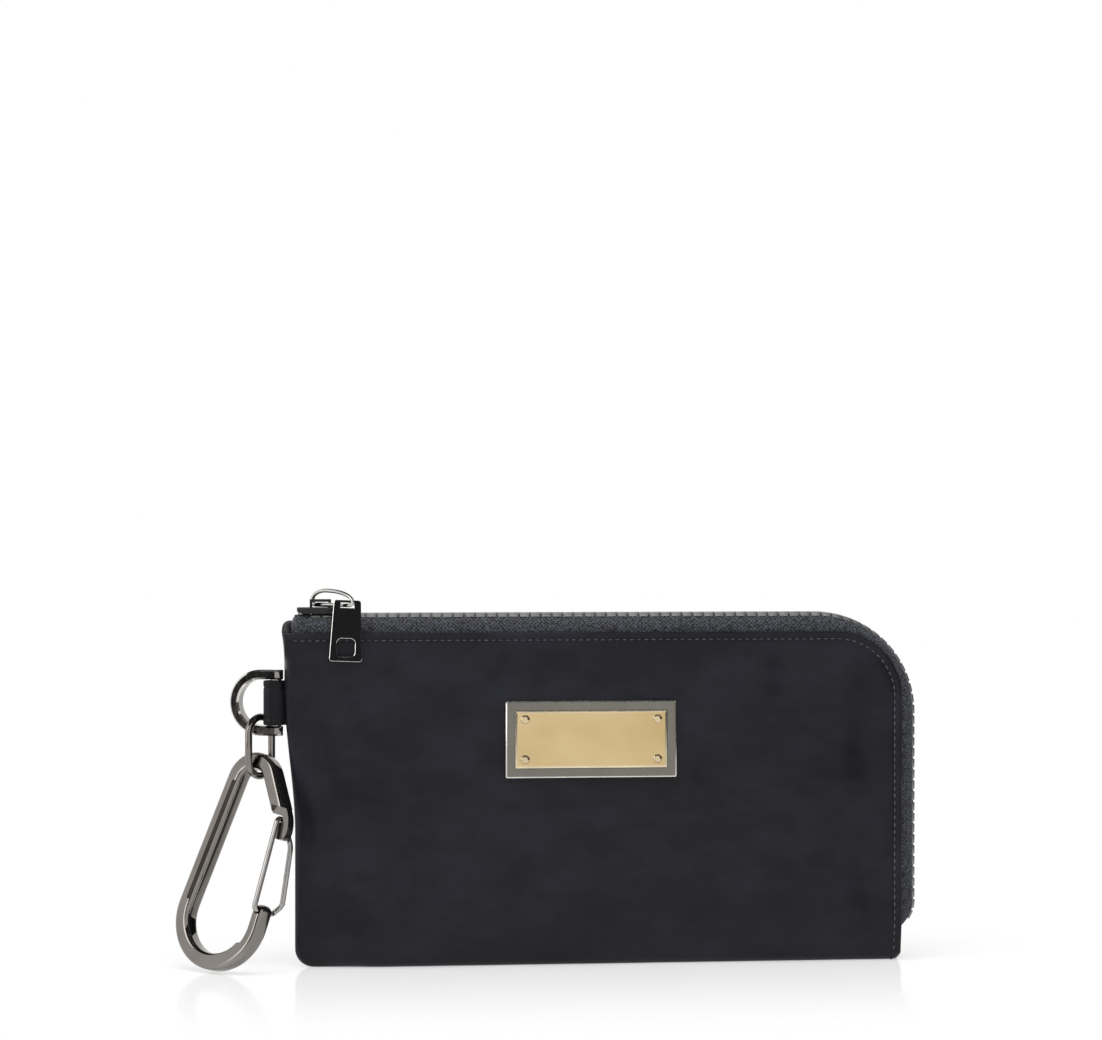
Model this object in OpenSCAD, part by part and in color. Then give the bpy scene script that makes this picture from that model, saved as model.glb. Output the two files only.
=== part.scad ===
// Zippered pouch with a riveted face plate and a wire-gate carabiner.
// Millimetres. X runs along the pouch, the front faces -Y and Z is up.
// The origin is the middle of the flat base, on the surface that the pouch stands on.

/* [Pouch] */
// Width of the pouch at its foot
panel_w = 184; // [150:1:240]
// Height of the fabric panels
panel_h = 100.4; // [90:0.1:140]
// How far the left edge leans out at the top
left_flare = 3.2; // [0:0.1:8]
// Thickness of the outer fabric
panel_t = 1; // [0.6:0.1:1.6]
// Width of the flat base
base_w = 11; // [8:0.5:16]
// Thickness of the pouch across the zip edges
zip_gap = 14; // [13:0.5:20]
// Thickness of the pouch at its fullest
belly = 17; // [16:0.5:26]
// Thickness of the pouch at the left seam
seam_gap = 4; // [3.4:0.1:6]
// Radius of the top right corner
corner_r = 16; // [10:1:26]
// Radius of the lower left corner
foot_r = 5.5; // [3:0.5:10]
// Radius of the lower right corner
toe_r = 3; // [2:0.5:6]
// Thickness of the lining
lining_t = 0.5; // [0.3:0.1:0.8]
// Depth of the open notch at the top of the left seam
notch_h = 6; // [3:0.5:10]

/* [Zip] */
// Distance from the panel edge out to the middle of the teeth
zip_rise = 5; // [4.6:0.1:7]
// How much flatter than the panel corner the tooth line turns
zip_flatten = 6.6; // [2:0.2:8]
// Radius on which the zip rolls in at the foot of the right side
zip_roll_r = 9.5; // [8:0.5:12]
// Angle of that roll
zip_roll_angle = 60; // [40:1:65]
// Height at which the roll begins
zip_roll_z = 18; // [16:0.5:26]
// Thickness of the zip tape
tape_t = 0.7; // [0.5:0.1:1]
// Width of the tape that is sewn inside the panel
tape_hem = 6; // [4:0.5:9]
// Distance from the left foot corner in to the start of the tape
tape_inset = 0.2; // [-1:0.1:2]
// Tooth pitch along one row
tooth_pitch = 3.3; // [3:0.1:4]
// Tooth height
tooth_h = 2.2; // [1.8:0.1:2.6]
// Width of a tooth at its head
tooth_head_w = 1.5; // [1.2:0.1:1.6]
// Width of a tooth at its neck
tooth_neck_w = 1; // [0.8:0.1:1.1]
// Reach of a tooth head past the middle line
tooth_reach = 1.2; // [0.9:0.1:1.4]
// Distance from the middle line to the edge of each tape
bead_y = 2.6; // [2.4:0.1:3]
// Length of the tooth legs that grip the tape
tooth_leg = 1.2; // [0.8:0.1:1.2]

/* [Slider] */
// Slider length along the zip
slider_l = 12; // [10:0.1:13]
// Slider width across the zip
slider_w = 9.2; // [9.2:0.1:11]
// Width of the lower slider plate
slider_low_w = 6; // [5:0.1:6.4]
// Thickness of the slider plates
slider_t = 1.2; // [0.9:0.1:1.5]
// Free room between a slider plate and the teeth
slider_play = 0.2; // [0.15:0.05:0.3]
// Distance from the left foot corner to the slider at rest
slider_inset = 6.6; // [6.4:0.1:20]
// Clear length of the bail on the slider
bail_gap = 4.8; // [4.6:0.1:6]
// Distance from the middle of the slider to the middle of the bail
bail_shift = 1; // [0:0.1:2]
// Clear height of the bail
bail_rise = 1.7; // [1.6:0.1:2.6]
// Thickness of the bail
bail_t = 0.8; // [0.7:0.1:1.4]

/* [Pull] */
// Wire diameter of the pull ring
ring_d = 1.1; // [0.9:0.1:1.3]
// Height of the pull ring
ring_h = 5.4; // [5.2:0.1:7]
// Radius of the back of the pull ring, to the middle of the wire
ring_r = 1.75; // [1.2:0.05:1.8]
// Radius of the lower front corner of the pull ring, to the middle of the wire
ring_nose_r = 2.2; // [1.9:0.1:2.4]
// Angle that the ring is turned towards the front
ring_turn = 46; // [44:1:60]
// Length of the pull ring on the far side of the bail
ring_tail = 3.9; // [3.8:0.1:5]
// Length of the pull
pull_l = 18.3; // [14:0.1:24]
// Width of the pull at its top
pull_top_w = 8.1; // [6:0.1:9]
// Width of the pull at its foot
pull_foot_w = 9.7; // [8:0.1:12]
// Thickness of the pull
pull_t = 1.5; // [1.2:0.1:1.6]
// Roll of the pull on its ring
pull_roll = 2; // [0:0.5:4]
// Width of the slot that the ring passes through
slot_w = 4; // [3.2:0.1:4.8]
// Height of that slot
slot_h = 1.5; // [1.4:0.1:2]
// Metal left above the slot
slot_land = 0.8; // [0.6:0.1:1.2]
// Width and height of the window in the pull
window_w = 5.5; // [3:0.1:6]
// Corner radius of the window
window_r = 1.4; // [0.8:0.1:2]
// Metal left below the window
window_land = 1.4; // [1:0.1:2.5]

/* [Face plate] */
// Width of the plate frame
frame_w = 51.6; // [40:0.1:70]
// Height of the plate frame
frame_h = 23; // [18:0.1:24]
// Thickness of the plate frame
frame_t = 1.6; // [1.4:0.1:2.5]
// Width of the raised rim of the frame
frame_rim = 2.8; // [2:0.1:4]
// Depth of the pocket that holds the plate
pocket_d = 0.8; // [0.6:0.1:0.9]
// Thickness of the face plate
plate_t = 0.6; // [0.4:0.1:0.7]
// Place of the plate along the pouch
plate_x = -3.5; // [-20:0.1:20]
// Distance from the top of the panel down to the plate frame
plate_drop = 20.5; // [20.2:0.1:40]
// Distance from the end of the plate in to a rivet
rivet_in_x = 3; // [2:0.1:6]
// Distance from the long edge of the plate in to a rivet
rivet_in_z = 2.7; // [2:0.1:4]
// Rivet head diameter
rivet_d = 2.1; // [1.8:0.1:3]
// Rivet shank diameter
shank_d = 1.2; // [1:0.1:1.6]
// Thickness of the stiffener behind the panel
backer_t = 0.4; // [0.3:0.05:0.5]

/* [Side loop and D-ring] */
// Width of the webbing loop
strap_w = 13.4; // [10:0.1:15]
// Thickness of the webbing
strap_t = 0.9; // [0.7:0.1:1]
// Length of the loop outside the seam
strap_out = 5.6; // [5.4:0.1:7]
// Length of the webbing sewn inside the seam
strap_in = 6; // [4:0.5:10]
// Distance from the top of the panel down to the middle of the loop
strap_drop = 21; // [20:0.1:40]
// Diameter of the D-ring bar
bar_d = 3.2; // [2.4:0.1:3.4]
// Outer depth of the D-ring from its bar
dring_out = 14.4; // [13:0.1:20]
// Width of the D-ring band
band_w = 2.9; // [2.4:0.1:3.4]
// Depth of the D-ring band
band_d = 4.2; // [3:0.1:4.4]
// Angle that the D-ring is swung back
dring_swing = 23; // [0:1:40]

/* [Chain link] */
// Wire diameter of the link
link_d = 2.2; // [1.8:0.1:2.4]
// Outer width of the link
link_w = 12; // [11.8:0.1:14]
// Outer height of the link
link_h = 19.9; // [17:0.1:24]
// Place of the link along the lower arm of the D-ring
link_out = 5.2; // [5.2:0.1:6.6]
// Angle of the link from the length of the pouch
link_turn = 45; // [40:1:60]

/* [Carabiner] */
// Width of the carabiner bar in its plane
carab_w = 5; // [4.6:0.1:6]
// Depth of the carabiner bar
carab_d = 5.6; // [5.2:0.1:6]
// Radius of the top bend, to the middle of the bar
carab_top_r = 7; // [6:0.1:7.5]
// Radius of the bottom bend, to the middle of the bar
carab_low_r = 13.6; // [11:0.1:14]
// Distance between the two bends
carab_l = 40.4; // [34:0.1:40.6]
// Offset of the bottom bend towards the gate
carab_shift = 3; // [1:0.1:4]
// Length of the straight run to the nose
nose_run = 13.8; // [12:0.1:16]
// Angle of that run from the upright
nose_angle = 37; // [25:1:42]
// Bend radius of the nose
nose_r = 7.7; // [6:0.1:11]
// Length of the straight arm up to the gate hinge
hinge_arm = 5; // [4.5:0.1:10]
// Depth of the nose tongue between the gate legs
tongue_d = 2.8; // [2:0.1:3]
// Depth of the channel in each side of the spine
channel_d = 0.9; // [0.4:0.1:1.2]
// Width of that channel
channel_w = 1.2; // [0.8:0.1:1.6]
// Offset of that channel towards the inside of the carabiner
channel_in = 0.9; // [0:0.1:1.2]
// Lean of the carabiner towards the front
carab_lean = 16; // [8:1:18]
// Tilt of the carabiner in its own plane
carab_tilt = 9.5; // [4:0.5:12]
// Angle of the carabiner from the length of the pouch
carab_turn = 51; // [45:1:58]
// Wire diameter of the gate
gate_d = 1.6; // [1.2:0.1:1.8]
// Distance between the gate legs at the hinge, to the middle of the wire
gate_foot_w = 8.6; // [8:0.1:10]
// How much further the far leg stands off the hinge
gate_stand = 1; // [0:0.1:2]
// How far the far leg bows out
gate_bow = 2.6; // [0:0.1:3]

/* [Hidden] */
$fn = 48;

// Clearances
fit = 0.05;
run_gap = 0.3;
sew_gap = 0.35;
cord_gap = 1.5 * run_gap;
lining_gap = 0.75;
over = 1;

// Pouch limits
x_left = -panel_w / 2;
x_right = panel_w / 2;
half_belly = belly / 2;
half_zip = zip_gap / 2;
half_base = base_w / 2;
half_seam = seam_gap / 2;
plate_z = panel_h - plate_drop - frame_h / 2;
strap_z = panel_h - strap_drop;

// Lengths over which the panel swells from its edges
seam_swell = 34;
base_swell = 22;
zip_flat = 9;
zip_swell = 11;
swell_power = 6;
flare_low = 40;
flare_high = 84;
seam_opens = 27;

function ease(v) = let (c = min(1, max(0, v))) c * c * (3 - 2 * c);

// Left and right ends of the panel at height z
function flare_at(z) = left_flare * ease((z - flare_low) / (flare_high - flare_low));
function foot_cut(z) = z < foot_r ? foot_r - sqrt(foot_r * foot_r - pow(foot_r - z, 2)) : 0;
function toe_cut(z) = z < toe_r ? toe_r - sqrt(toe_r * toe_r - pow(toe_r - z, 2)) : 0;
function corner_cut(z) =
    let (d = z - (panel_h - corner_r))
    d > 0 ? corner_r - sqrt(max(0, corner_r * corner_r - d * d)) : 0;
function left_at(z) = x_left - flare_at(z) + foot_cut(z);
function right_at(z) = x_right - corner_cut(z) - toe_cut(z);

// Distance of a point inside the panel from the zip edge
function zip_depth(x, z) =
    let (cx = x_right - corner_r, cz = panel_h - corner_r)
    x > cx && z > cz
        ? corner_r - norm([x - cx, z - cz])
        : min(x_right - x, panel_h - z);

// Half thickness of the pouch at a point, drawn in towards the seam, the base and the zip
function seam_at(z) =
    half_seam + (half_zip - half_seam) * ease((z - panel_h + seam_opens) / (seam_opens - over));
function blend_of(parts) =
    pow([for (v = parts) pow(v, swell_power)] * [for (v = parts) 1], 1 / swell_power);
function half_t(x, z) =
    let (
        seam_in = (half_belly - seam_at(z)) * (1 - ease((x - left_at(z)) / seam_swell)),
        base_in = (half_belly - half_base) * (1 - ease(z / base_swell)),
        zip_in = (half_belly - half_zip) * (1 - ease((zip_depth(x, z) - zip_flat) / zip_swell))
    )
    half_belly - blend_of([seam_in, base_in, zip_in]);

// A closed solid between two grids of points, as lists of rows
module sheet(outer, inner) {
    rows = len(outer);
    cols = len(outer[0]);
    count = rows * cols;
    points = [for (grid = [outer, inner]) for (row = grid) for (p = row) p];
    rim = concat(
        [for (i = [0 : cols - 1]) i],
        [for (j = [1 : rows - 1]) j * cols + cols - 1],
        [for (i = [cols - 2 : -1 : 0]) (rows - 1) * cols + i],
        [for (j = [rows - 2 : -1 : 1]) j * cols]
    );
    skin = [
        for (j = [0 : rows - 2]) for (i = [0 : cols - 2])
            let (a = j * cols + i, b = a + 1, c = a + cols + 1, d = a + cols)
            each [[a, b, c], [a, c, d]]
    ];
    faces = concat(
        [for (f = skin) [f[2], f[1], f[0]]],
        [for (f = skin) [f[0] + count, f[1] + count, f[2] + count]],
        [
            for (k = [0 : len(rim) - 1])
                let (a = rim[k], b = rim[(k + 1) % len(rim)])
                each [[a, b, b + count], [a, b + count, a + count]]
        ]
    );
    polyhedron(points = points, faces = faces, convexity = 8);
}

// Strap slot and notch in the left wall of the panels
slot_low = strap_z - strap_w / 2 - run_gap;
slot_high = strap_z + strap_w / 2 + run_gap;
step = 0.1;
tail_play = 0.2;
tail_half = strap_t + run_gap + tail_play;
notch_z = panel_h - notch_h;

// Grid of the panels: rows up the panel, columns across it
panel_cols = 22;
foot_steps = [0, 0.15, 0.4];
mid_steps = 7;
corner_steps = 6;
foot_z = foot_r + over;
mid_z = panel_h - corner_r;
plateau_z = panel_h - zip_flat - zip_swell;
function in_order(list) =
    len(list) < 2 ? list
    : let (pivot = list[0])
    concat(
        in_order([for (v = list) if (v < pivot - fit) v]),
        [pivot],
        in_order([for (v = list) if (v > pivot + fit) v])
    );
panel_rows = in_order(concat(
    [slot_low - step, slot_low, slot_high, slot_high + step, plateau_z, notch_z, notch_z + step],
    [for (k = foot_steps) panel_t + (foot_z - panel_t) * k],
    [for (k = [0 : mid_steps]) foot_z + (mid_z - foot_z) * k / mid_steps],
    [for (k = [1 : corner_steps]) mid_z + corner_r * sin(90 * k / corner_steps)]
));
function spread(k, count) = (1 - cos(180 * k / count)) / 2;

// Depth of the left wall, which is open for the strap and at the top notch
function wall_y(z) =
    z >= slot_low && z <= slot_high ? tail_half
    : z > notch_z ? seam_at(z) - panel_t
    : 0;

function panel_row(z, inset) =
    let (
        x0 = left_at(z) + inset,
        x1 = right_at(z),
        wall = [x0, -min(wall_y(z), half_t(x0, z) - inset - fit), z]
    )
    concat([wall], [
        for (k = [0 : panel_cols])
            let (x = x0 + (x1 - x0) * spread(k, panel_cols))
            [x, inset - half_t(x, z), z]
    ]);

module panel_sheet() {
    sheet([for (z = panel_rows) panel_row(z, 0)], [for (z = panel_rows) panel_row(z, panel_t)]);
}

// Flat base, cut to the outline of the panels
base_steps = 30;
module base_plate() {
    x0 = left_at(panel_t);
    x1 = right_at(panel_t);
    edge = [
        for (k = [0 : base_steps])
            let (x = x0 + (x1 - x0) * spread(k, base_steps))
            [x, half_t(x, panel_t)]
    ];
    outline = concat(
        [for (p = edge) [p[0], -p[1]]],
        [for (k = [base_steps : -1 : 0]) edge[k]]
    );
    linear_extrude(panel_t) polygon(outline);
}

// Wall that closes the mouth below the end of the zip
toe_top = 8;
module toe_wall() {
    x = right_at(panel_t) - panel_t;
    low = half_t(x, panel_t) - panel_t - sew_gap;
    high = half_t(x, toe_top) - panel_t - sew_gap;
    translate([x - panel_t, 0, 0]) rotate([90, 0, 90]) linear_extrude(panel_t)
        polygon([[-low, panel_t], [low, panel_t], [high, toe_top], [-high, toe_top]]);
}

rivet_dx = frame_w - 2 * frame_rim - 2 * rivet_in_x;
rivet_dz = frame_h - 2 * frame_rim - 2 * rivet_in_z;
module rivet_places() {
    for (i = [-1, 1]) for (k = [-1, 1])
        translate([plate_x + i * rivet_dx / 2, 0, plate_z + k * rivet_dz / 2]) children();
}

module front_panel() {
    color("#26262b") {
        base_plate();
        toe_wall();
        difference() {
            panel_sheet();
            rivet_places() rotate([90, 0, 0]) cylinder(d = shank_d + 2 * fit, h = belly);
        }
    }
}

module back_panel() {
    color("#232328") mirror([0, 1, 0]) panel_sheet();
}

// Linings, which stop short of the seam, the base and the sewn tape
lining_inset = 9;
lining_cols = 12;
lining_steps = 9;
lining_edge = tape_hem + run_gap;
lining_r = corner_r - lining_edge;
lining_top = panel_h - lining_edge;
function lining_right(z) =
    let (d = max(0, z - lining_top + lining_r))
    x_right - lining_edge - lining_r + sqrt(max(0, lining_r * lining_r - d * d));
lining_rows = [
    for (k = [0 : lining_steps])
        let (low = panel_t + run_gap)
        low + (lining_top - low) * sin(90 * k / lining_steps)
];
function lining_row(z, inset) =
    let (x0 = left_at(z) + lining_inset, x1 = lining_right(z))
    [
        for (k = [0 : lining_cols])
            let (x = x0 + (x1 - x0) * spread(k, lining_cols))
            [x, inset - half_t(x, z), z]
    ];
module lining_sheet() {
    gap = panel_t + lining_gap;
    sheet(
        [for (z = lining_rows) lining_row(z, gap)],
        [for (z = lining_rows) lining_row(z, gap + lining_t)]
    );
}
module front_lining() {
    color("#4a4a52") lining_sheet();
}
module back_lining() {
    color("#4a4a52") mirror([0, 1, 0]) lining_sheet();
}

// The tooth line: along the top, round the corner, down the side and in at the foot
zip_x0 = x_left + tape_inset;
tooth_z = panel_h + zip_rise;
tooth_x = x_right + zip_rise;
zip_corner_r = corner_r + zip_rise + zip_flatten;
corner_x = tooth_x - zip_corner_r;
corner_z = tooth_z - zip_corner_r;
roll_x = tooth_x - zip_roll_r;
top_len = corner_x - zip_x0;
corner_len = zip_corner_r * PI / 2;
side_len = corner_z - zip_roll_z;
roll_len = zip_roll_r * zip_roll_angle * PI / 180;
corner_s = top_len + corner_len;
roll_s = corner_s + side_len;
zip_len = roll_s + roll_len;

function turn_at(s) =
    s < top_len ? 0
    : s < corner_s ? (s - top_len) / zip_corner_r * 180 / PI
    : s < roll_s ? 90
    : 90 + (s - roll_s) / zip_roll_r * 180 / PI;
function zip_at(s) =
    let (a = turn_at(s))
    s < top_len ? [zip_x0 + s, 0, tooth_z]
    : s < corner_s ? [corner_x + zip_corner_r * sin(a), 0, corner_z + zip_corner_r * cos(a)]
    : s < roll_s ? [tooth_x, 0, corner_z - (s - corner_s)]
    : [roll_x + zip_roll_r * sin(a), 0, zip_roll_z + zip_roll_r * cos(a)];

// Distance from the tooth line in to the edge of the panel
function corner_reach(a) =
    let (flat = zip_corner_r - zip_rise, lead = atan(zip_flatten / flat))
    a < lead ? flat / cos(a)
    : a > 90 - lead ? flat / sin(a)
    : zip_flatten * (sin(a) + cos(a)) + sqrt(pow(corner_r, 2) - pow(zip_flatten * (cos(a) - sin(a)), 2));
function edge_gap(s) =
    s < top_len ? zip_rise
    : s < corner_s ? zip_corner_r - corner_reach(turn_at(s))
    : s < roll_s ? zip_rise
    : zip_roll_r - (zip_roll_r - zip_rise) / sin(turn_at(s));

// Width sewn inside the panel, which narrows where the zip rolls in
roll_core = 1.2;
roll_lead = 8;
roll_hem = zip_roll_r - zip_rise - roll_core;
function hem_at(s) =
    s < roll_s ? tape_hem + (roll_hem - tape_hem) * ease((s - roll_s + roll_lead) / roll_lead)
    : roll_hem;

// Tape: an arch from the teeth to the panel edge, then the sewn hem
arch_steps = 6;
function tape_row(s, inset) =
    let (
        a = turn_at(s),
        out = [sin(a), 0, cos(a)],
        gap = edge_gap(s),
        edge = zip_at(s) - gap * out,
        sewn = half_t(min(edge[0], right_at(edge[2])), edge[2]) - panel_t - sew_gap,
        across = sewn - bead_y - inset,
        rise = gap + tape_t / 2 - inset
    )
    concat(
        [edge - hem_at(s) * out - [0, sewn - inset, 0]],
        [
            for (k = [arch_steps : -1 : 0])
                let (w = 90 * k / arch_steps)
                edge + rise * cos(w) * out - [0, bead_y + across * sin(w), 0]
        ]
    );
tape_stations = concat(
    [0, top_len / 24, top_len / 8, top_len / 3, top_len - fit],
    [for (k = [0 : 10]) top_len + corner_len * k / 10],
    [for (k = [1 : 3]) corner_s + (side_len - roll_lead) * k / 3],
    [roll_s - roll_lead / 2],
    [for (k = [0 : 5]) roll_s + roll_len * k / 5]
);
module tape_sheet() {
    rows = [for (s = tape_stations) tape_row(s, 0)];
    backs = [for (s = tape_stations) tape_row(s, tape_t)];
    outer = [for (i = [0 : len(rows[0]) - 1]) [for (row = rows) row[i]]];
    inner = [for (i = [0 : len(rows[0]) - 1]) [for (row = backs) row[i]]];
    sheet(outer, inner);
}
module front_zip_tape() {
    color("#34343a") tape_sheet();
}
module back_zip_tape() {
    color("#34343a") mirror([0, 1, 0]) tape_sheet();
}

// Side view of a tooth or stop: a block past the tape edge with a leg lying over the tape
leg_low = tape_t / 2 + 2 * fit;
module tooth_side(reach) {
    heel = bead_y - 2 * fit;
    polygon([
        [-bead_y - tooth_leg, leg_low],
        [-bead_y - tooth_leg, tooth_h / 2],
        [reach, tooth_h / 2],
        [reach, -tooth_h / 2],
        [-heel, -tooth_h / 2],
        [-heel, leg_low],
    ]);
}
// Plan of a tooth: broad legs, a neck and a broader head
module tooth_plan() {
    head = tooth_head_w / 2;
    neck = tooth_neck_w / 2;
    neck_y = -tooth_reach / 3;
    head_y = tooth_reach / 3;
    polygon([
        [-head, -bead_y - tooth_leg],
        [head, -bead_y - tooth_leg],
        [head, -bead_y],
        [neck, -tooth_reach - fit],
        [neck, neck_y],
        [head, head_y],
        [head, tooth_reach - 2 * fit],
        [neck, tooth_reach],
        [-neck, tooth_reach],
        [-head, tooth_reach - 2 * fit],
        [-head, head_y],
        [-neck, neck_y],
        [-neck, -tooth_reach - fit],
        [-head, -bead_y],
    ]);
}
module tooth() {
    intersection() {
        translate([0, 0, -tooth_h / 2]) linear_extrude(tooth_h) tooth_plan();
        translate([-tooth_head_w, 0, 0]) rotate([90, 0, 90])
            linear_extrude(2 * tooth_head_w) tooth_side(tooth_reach);
    }
}
module on_zip(s) {
    translate(zip_at(s)) rotate([0, turn_at(s), 0]) children();
}

// Slider place, and where the closed chain starts and ends
slider_x = x_left + slider_inset;
slider_s = slider_x - zip_x0;
bail_x = slider_x + bail_shift;
chain_s = slider_s - tooth_head_w / 2 + run_gap;
stop_l = 1.4;
stop_w = 4.6;
chain_end = zip_len - stop_l - run_gap - tooth_head_w / 2;
tooth_count = floor((chain_end - chain_s) / tooth_pitch - 0.5) + 1;

module tooth_row(lead) {
    for (k = [0 : tooth_count - 1]) on_zip(chain_s + (k + lead) * tooth_pitch) tooth();
}
module front_zip_teeth() {
    color("#8a8a8c") tooth_row(0);
}
module back_zip_teeth() {
    color("#8a8a8c") mirror([0, 1, 0]) tooth_row(0.5);
}

module top_stops() {
    stop_s = slider_s - slider_l / 2 + run_gap;
    color("#8a8a8c") for (side = [0, 1]) mirror([0, side, 0])
        on_zip(stop_s) rotate([90, 0, 90]) linear_extrude(stop_l) tooth_side(-tooth_reach);
}
module bottom_stop() {
    color("#8a8a8c") on_zip(zip_len - stop_l / 2)
        translate([-stop_l / 2, -stop_w / 2, -tooth_h / 2]) cube([stop_l, stop_w, tooth_h]);
}

// Slider, about the middle of the tooth line at its place
plate_low = tooth_h / 2 + slider_play;
plate_top = plate_low + slider_t;
flange_t = 0.5;
flange_drop = 0.6;
slider_bevel = 1.6;
bail_w = 2;
module slider_outline(width) {
    x = slider_l / 2;
    y = width / 2;
    cut = slider_bevel;
    polygon([
        [-x, -y + cut], [-x + cut, -y], [x - cut, -y], [x, -y + cut],
        [x, y - cut], [x - cut, y], [-x + cut, y], [-x, y - cut],
    ]);
}
module slider_body() {
    post_x = -tooth_head_w - run_gap;
    post_l = slider_l / 2 - tooth_head_w - 2 * run_gap;
    flange_l = slider_l - 2 * slider_bevel;
    color("#b9b9b6") translate([slider_x, 0, tooth_z]) {
        translate([0, 0, plate_low]) linear_extrude(slider_t) slider_outline(slider_w);
        translate([0, 0, -plate_top]) linear_extrude(slider_t) slider_outline(slider_low_w);
        translate([post_x, 0, -plate_low]) linear_extrude(2 * plate_low)
            polygon([[0, 0], [-post_l, -1], [-post_l, 1]]);
        for (side = [-1, 1])
            translate([0, side * (slider_w - flange_t) / 2, plate_low - flange_drop / 2])
                cube([flange_l, flange_t, flange_drop], center = true);
        translate([bail_shift, bail_w / 2, plate_top]) rotate([90, 0, 0])
            linear_extrude(bail_w) difference() {
                translate([-bail_gap / 2 - bail_t, 0])
                    square([bail_gap + 2 * bail_t, bail_rise + bail_t]);
                translate([-bail_gap / 2, -over]) square([bail_gap, bail_rise + over]);
            }
    }
}

// Pull ring, with its lower run through the bail, and the pull hung on that run
bail_z = tooth_z + plate_top + bail_rise / 2;
pull_reach = (half_zip + run_gap + pull_t / 2) / sin(ring_turn);
ring_end = pull_reach + pull_t / 2 / sin(ring_turn) + run_gap + ring_nose_r;
module at_ring(along) {
    translate([bail_x, 0, bail_z]) rotate([0, 0, -ring_turn]) translate([along, 0, 0]) children();
}
module wire_bend(radius, wire, from) {
    rotate([90, 0, 0]) rotate([0, 0, from]) rotate_extrude(angle = 90)
        translate([radius, 0]) circle(d = wire);
}
// Points on an arc in the plane of a profile
function arc(centre, radius, from, to, steps) =
    [for (k = [0 : steps]) let (a = from + (to - from) * k / steps) centre + radius * [cos(a), sin(a)]];
function round_box(x, y, r) = concat(
    arc([x - r, y - r], r, 0, 90, 4),
    arc([r - x, y - r], r, 90, 180, 4),
    arc([r - x, r - y], r, 180, 270, 4),
    arc([x - r, r - y], r, 270, 360, 4)
);

// A tube through rings of points, each ring with the same number of points, capped or joined up
module tube(rings, joined = false) {
    sides = len(rings[0]);
    count = len(rings);
    last = (count - 1) * sides;
    caps = [[for (n = [sides - 1 : -1 : 0]) n], [for (n = [0 : sides - 1]) last + n]];
    skin = [
        for (k = [0 : count - (joined ? 1 : 2)]) for (n = [0 : sides - 1])
            let (
                m = (n + 1) % sides,
                a = k * sides,
                b = (k + 1) % count * sides
            )
            each [[a + n, a + m, b + n], [a + m, b + m, b + n]]
    ];
    polyhedron(
        points = [for (ring = rings) each ring],
        faces = joined ? skin : concat(caps, skin),
        convexity = 8
    );
}

// The ring is straight below, round behind and arched down towards the pull in front
ring_sides = 10;
ring_power = 3;
module pull_ring() {
    left = ring_d / 2 - ring_tail;
    high = ring_h - ring_d;
    mid = left + ring_r;
    path = concat(
        arc([ring_end - ring_nose_r, ring_nose_r], ring_nose_r, -90, 0, 4),
        [
            for (k = [1 : 9])
                let (u = cos(10 * k))
                [
                    mid + (ring_end - mid) * u,
                    ring_nose_r + (high - ring_nose_r) * pow(1 - pow(u, ring_power), 1 / ring_power)
                ]
        ],
        arc([mid, high - ring_r], ring_r, 100, 180, 4),
        arc([mid, ring_r], ring_r, 180, 270, 5)
    );
    count = len(path);
    rings = [
        for (k = [0 : count - 1])
            let (
                run = path[(k + 1) % count] - path[(k + count - 1) % count],
                out = [run[1], -run[0]] / norm(run)
            )
            [
                for (n = [0 : ring_sides - 1])
                    let (a = 360 * n / ring_sides, p = path[k] + ring_d / 2 * cos(a) * out)
                    [p[0], -ring_d / 2 * sin(a), p[1]]
            ]
    ];
    color("#c9c9c6") at_ring(0) tube(rings, joined = true);
}

module pull_tab() {
    top = slot_h / 2 + slot_land;
    foot = top - pull_l;
    tip_r = 0.8;
    window_z = foot + window_land + window_w / 2;
    color("#161618") at_ring(pull_reach) rotate([0, 0, ring_turn]) translate([0, pull_t / 2, 0])
        rotate([90, 0, 0]) rotate([0, 0, -pull_roll]) linear_extrude(pull_t) difference() {
            polygon(concat(
                arc([pull_foot_w / 2 - tip_r, foot + tip_r], tip_r, -90, 0, 4),
                arc([pull_top_w / 2 - tip_r, top - tip_r], tip_r, 0, 90, 4),
                arc([tip_r - pull_top_w / 2, top - tip_r], tip_r, 90, 180, 4),
                arc([tip_r - pull_foot_w / 2, foot + tip_r], tip_r, 180, 270, 4)
            ));
            square([slot_w, slot_h], center = true);
            translate([0, window_z]) polygon(round_box(window_w / 2, window_w / 2, window_r));
        }
}

// Face plate on the flat front of the panel
face_y = -half_belly - fit / 2;
floor_t = frame_t - pocket_d;
pocket_w = frame_w - 2 * frame_rim;
pocket_h = frame_h - 2 * frame_rim;
module on_front(depth) {
    translate([plate_x, face_y - depth, plate_z]) rotate([90, 0, 0]) children();
}
module plate_frame() {
    color("#6c6a64") difference() {
        on_front(0) translate([-frame_w / 2, -frame_h / 2, 0]) cube([frame_w, frame_h, frame_t]);
        on_front(floor_t) translate([-pocket_w / 2, -pocket_h / 2, 0])
            cube([pocket_w, pocket_h, pocket_d + over]);
        rivet_places() rotate([90, 0, 0]) cylinder(d = shank_d + 2 * fit, h = belly);
    }
}
module face_plate() {
    w = pocket_w - 2 * fit;
    h = pocket_h - 2 * fit;
    color("#c4a873") difference() {
        on_front(floor_t) translate([-w / 2, -h / 2, 0]) cube([w, h, plate_t]);
        rivet_places() rotate([90, 0, 0]) cylinder(d = shank_d + 2 * fit, h = belly);
    }
}
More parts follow.
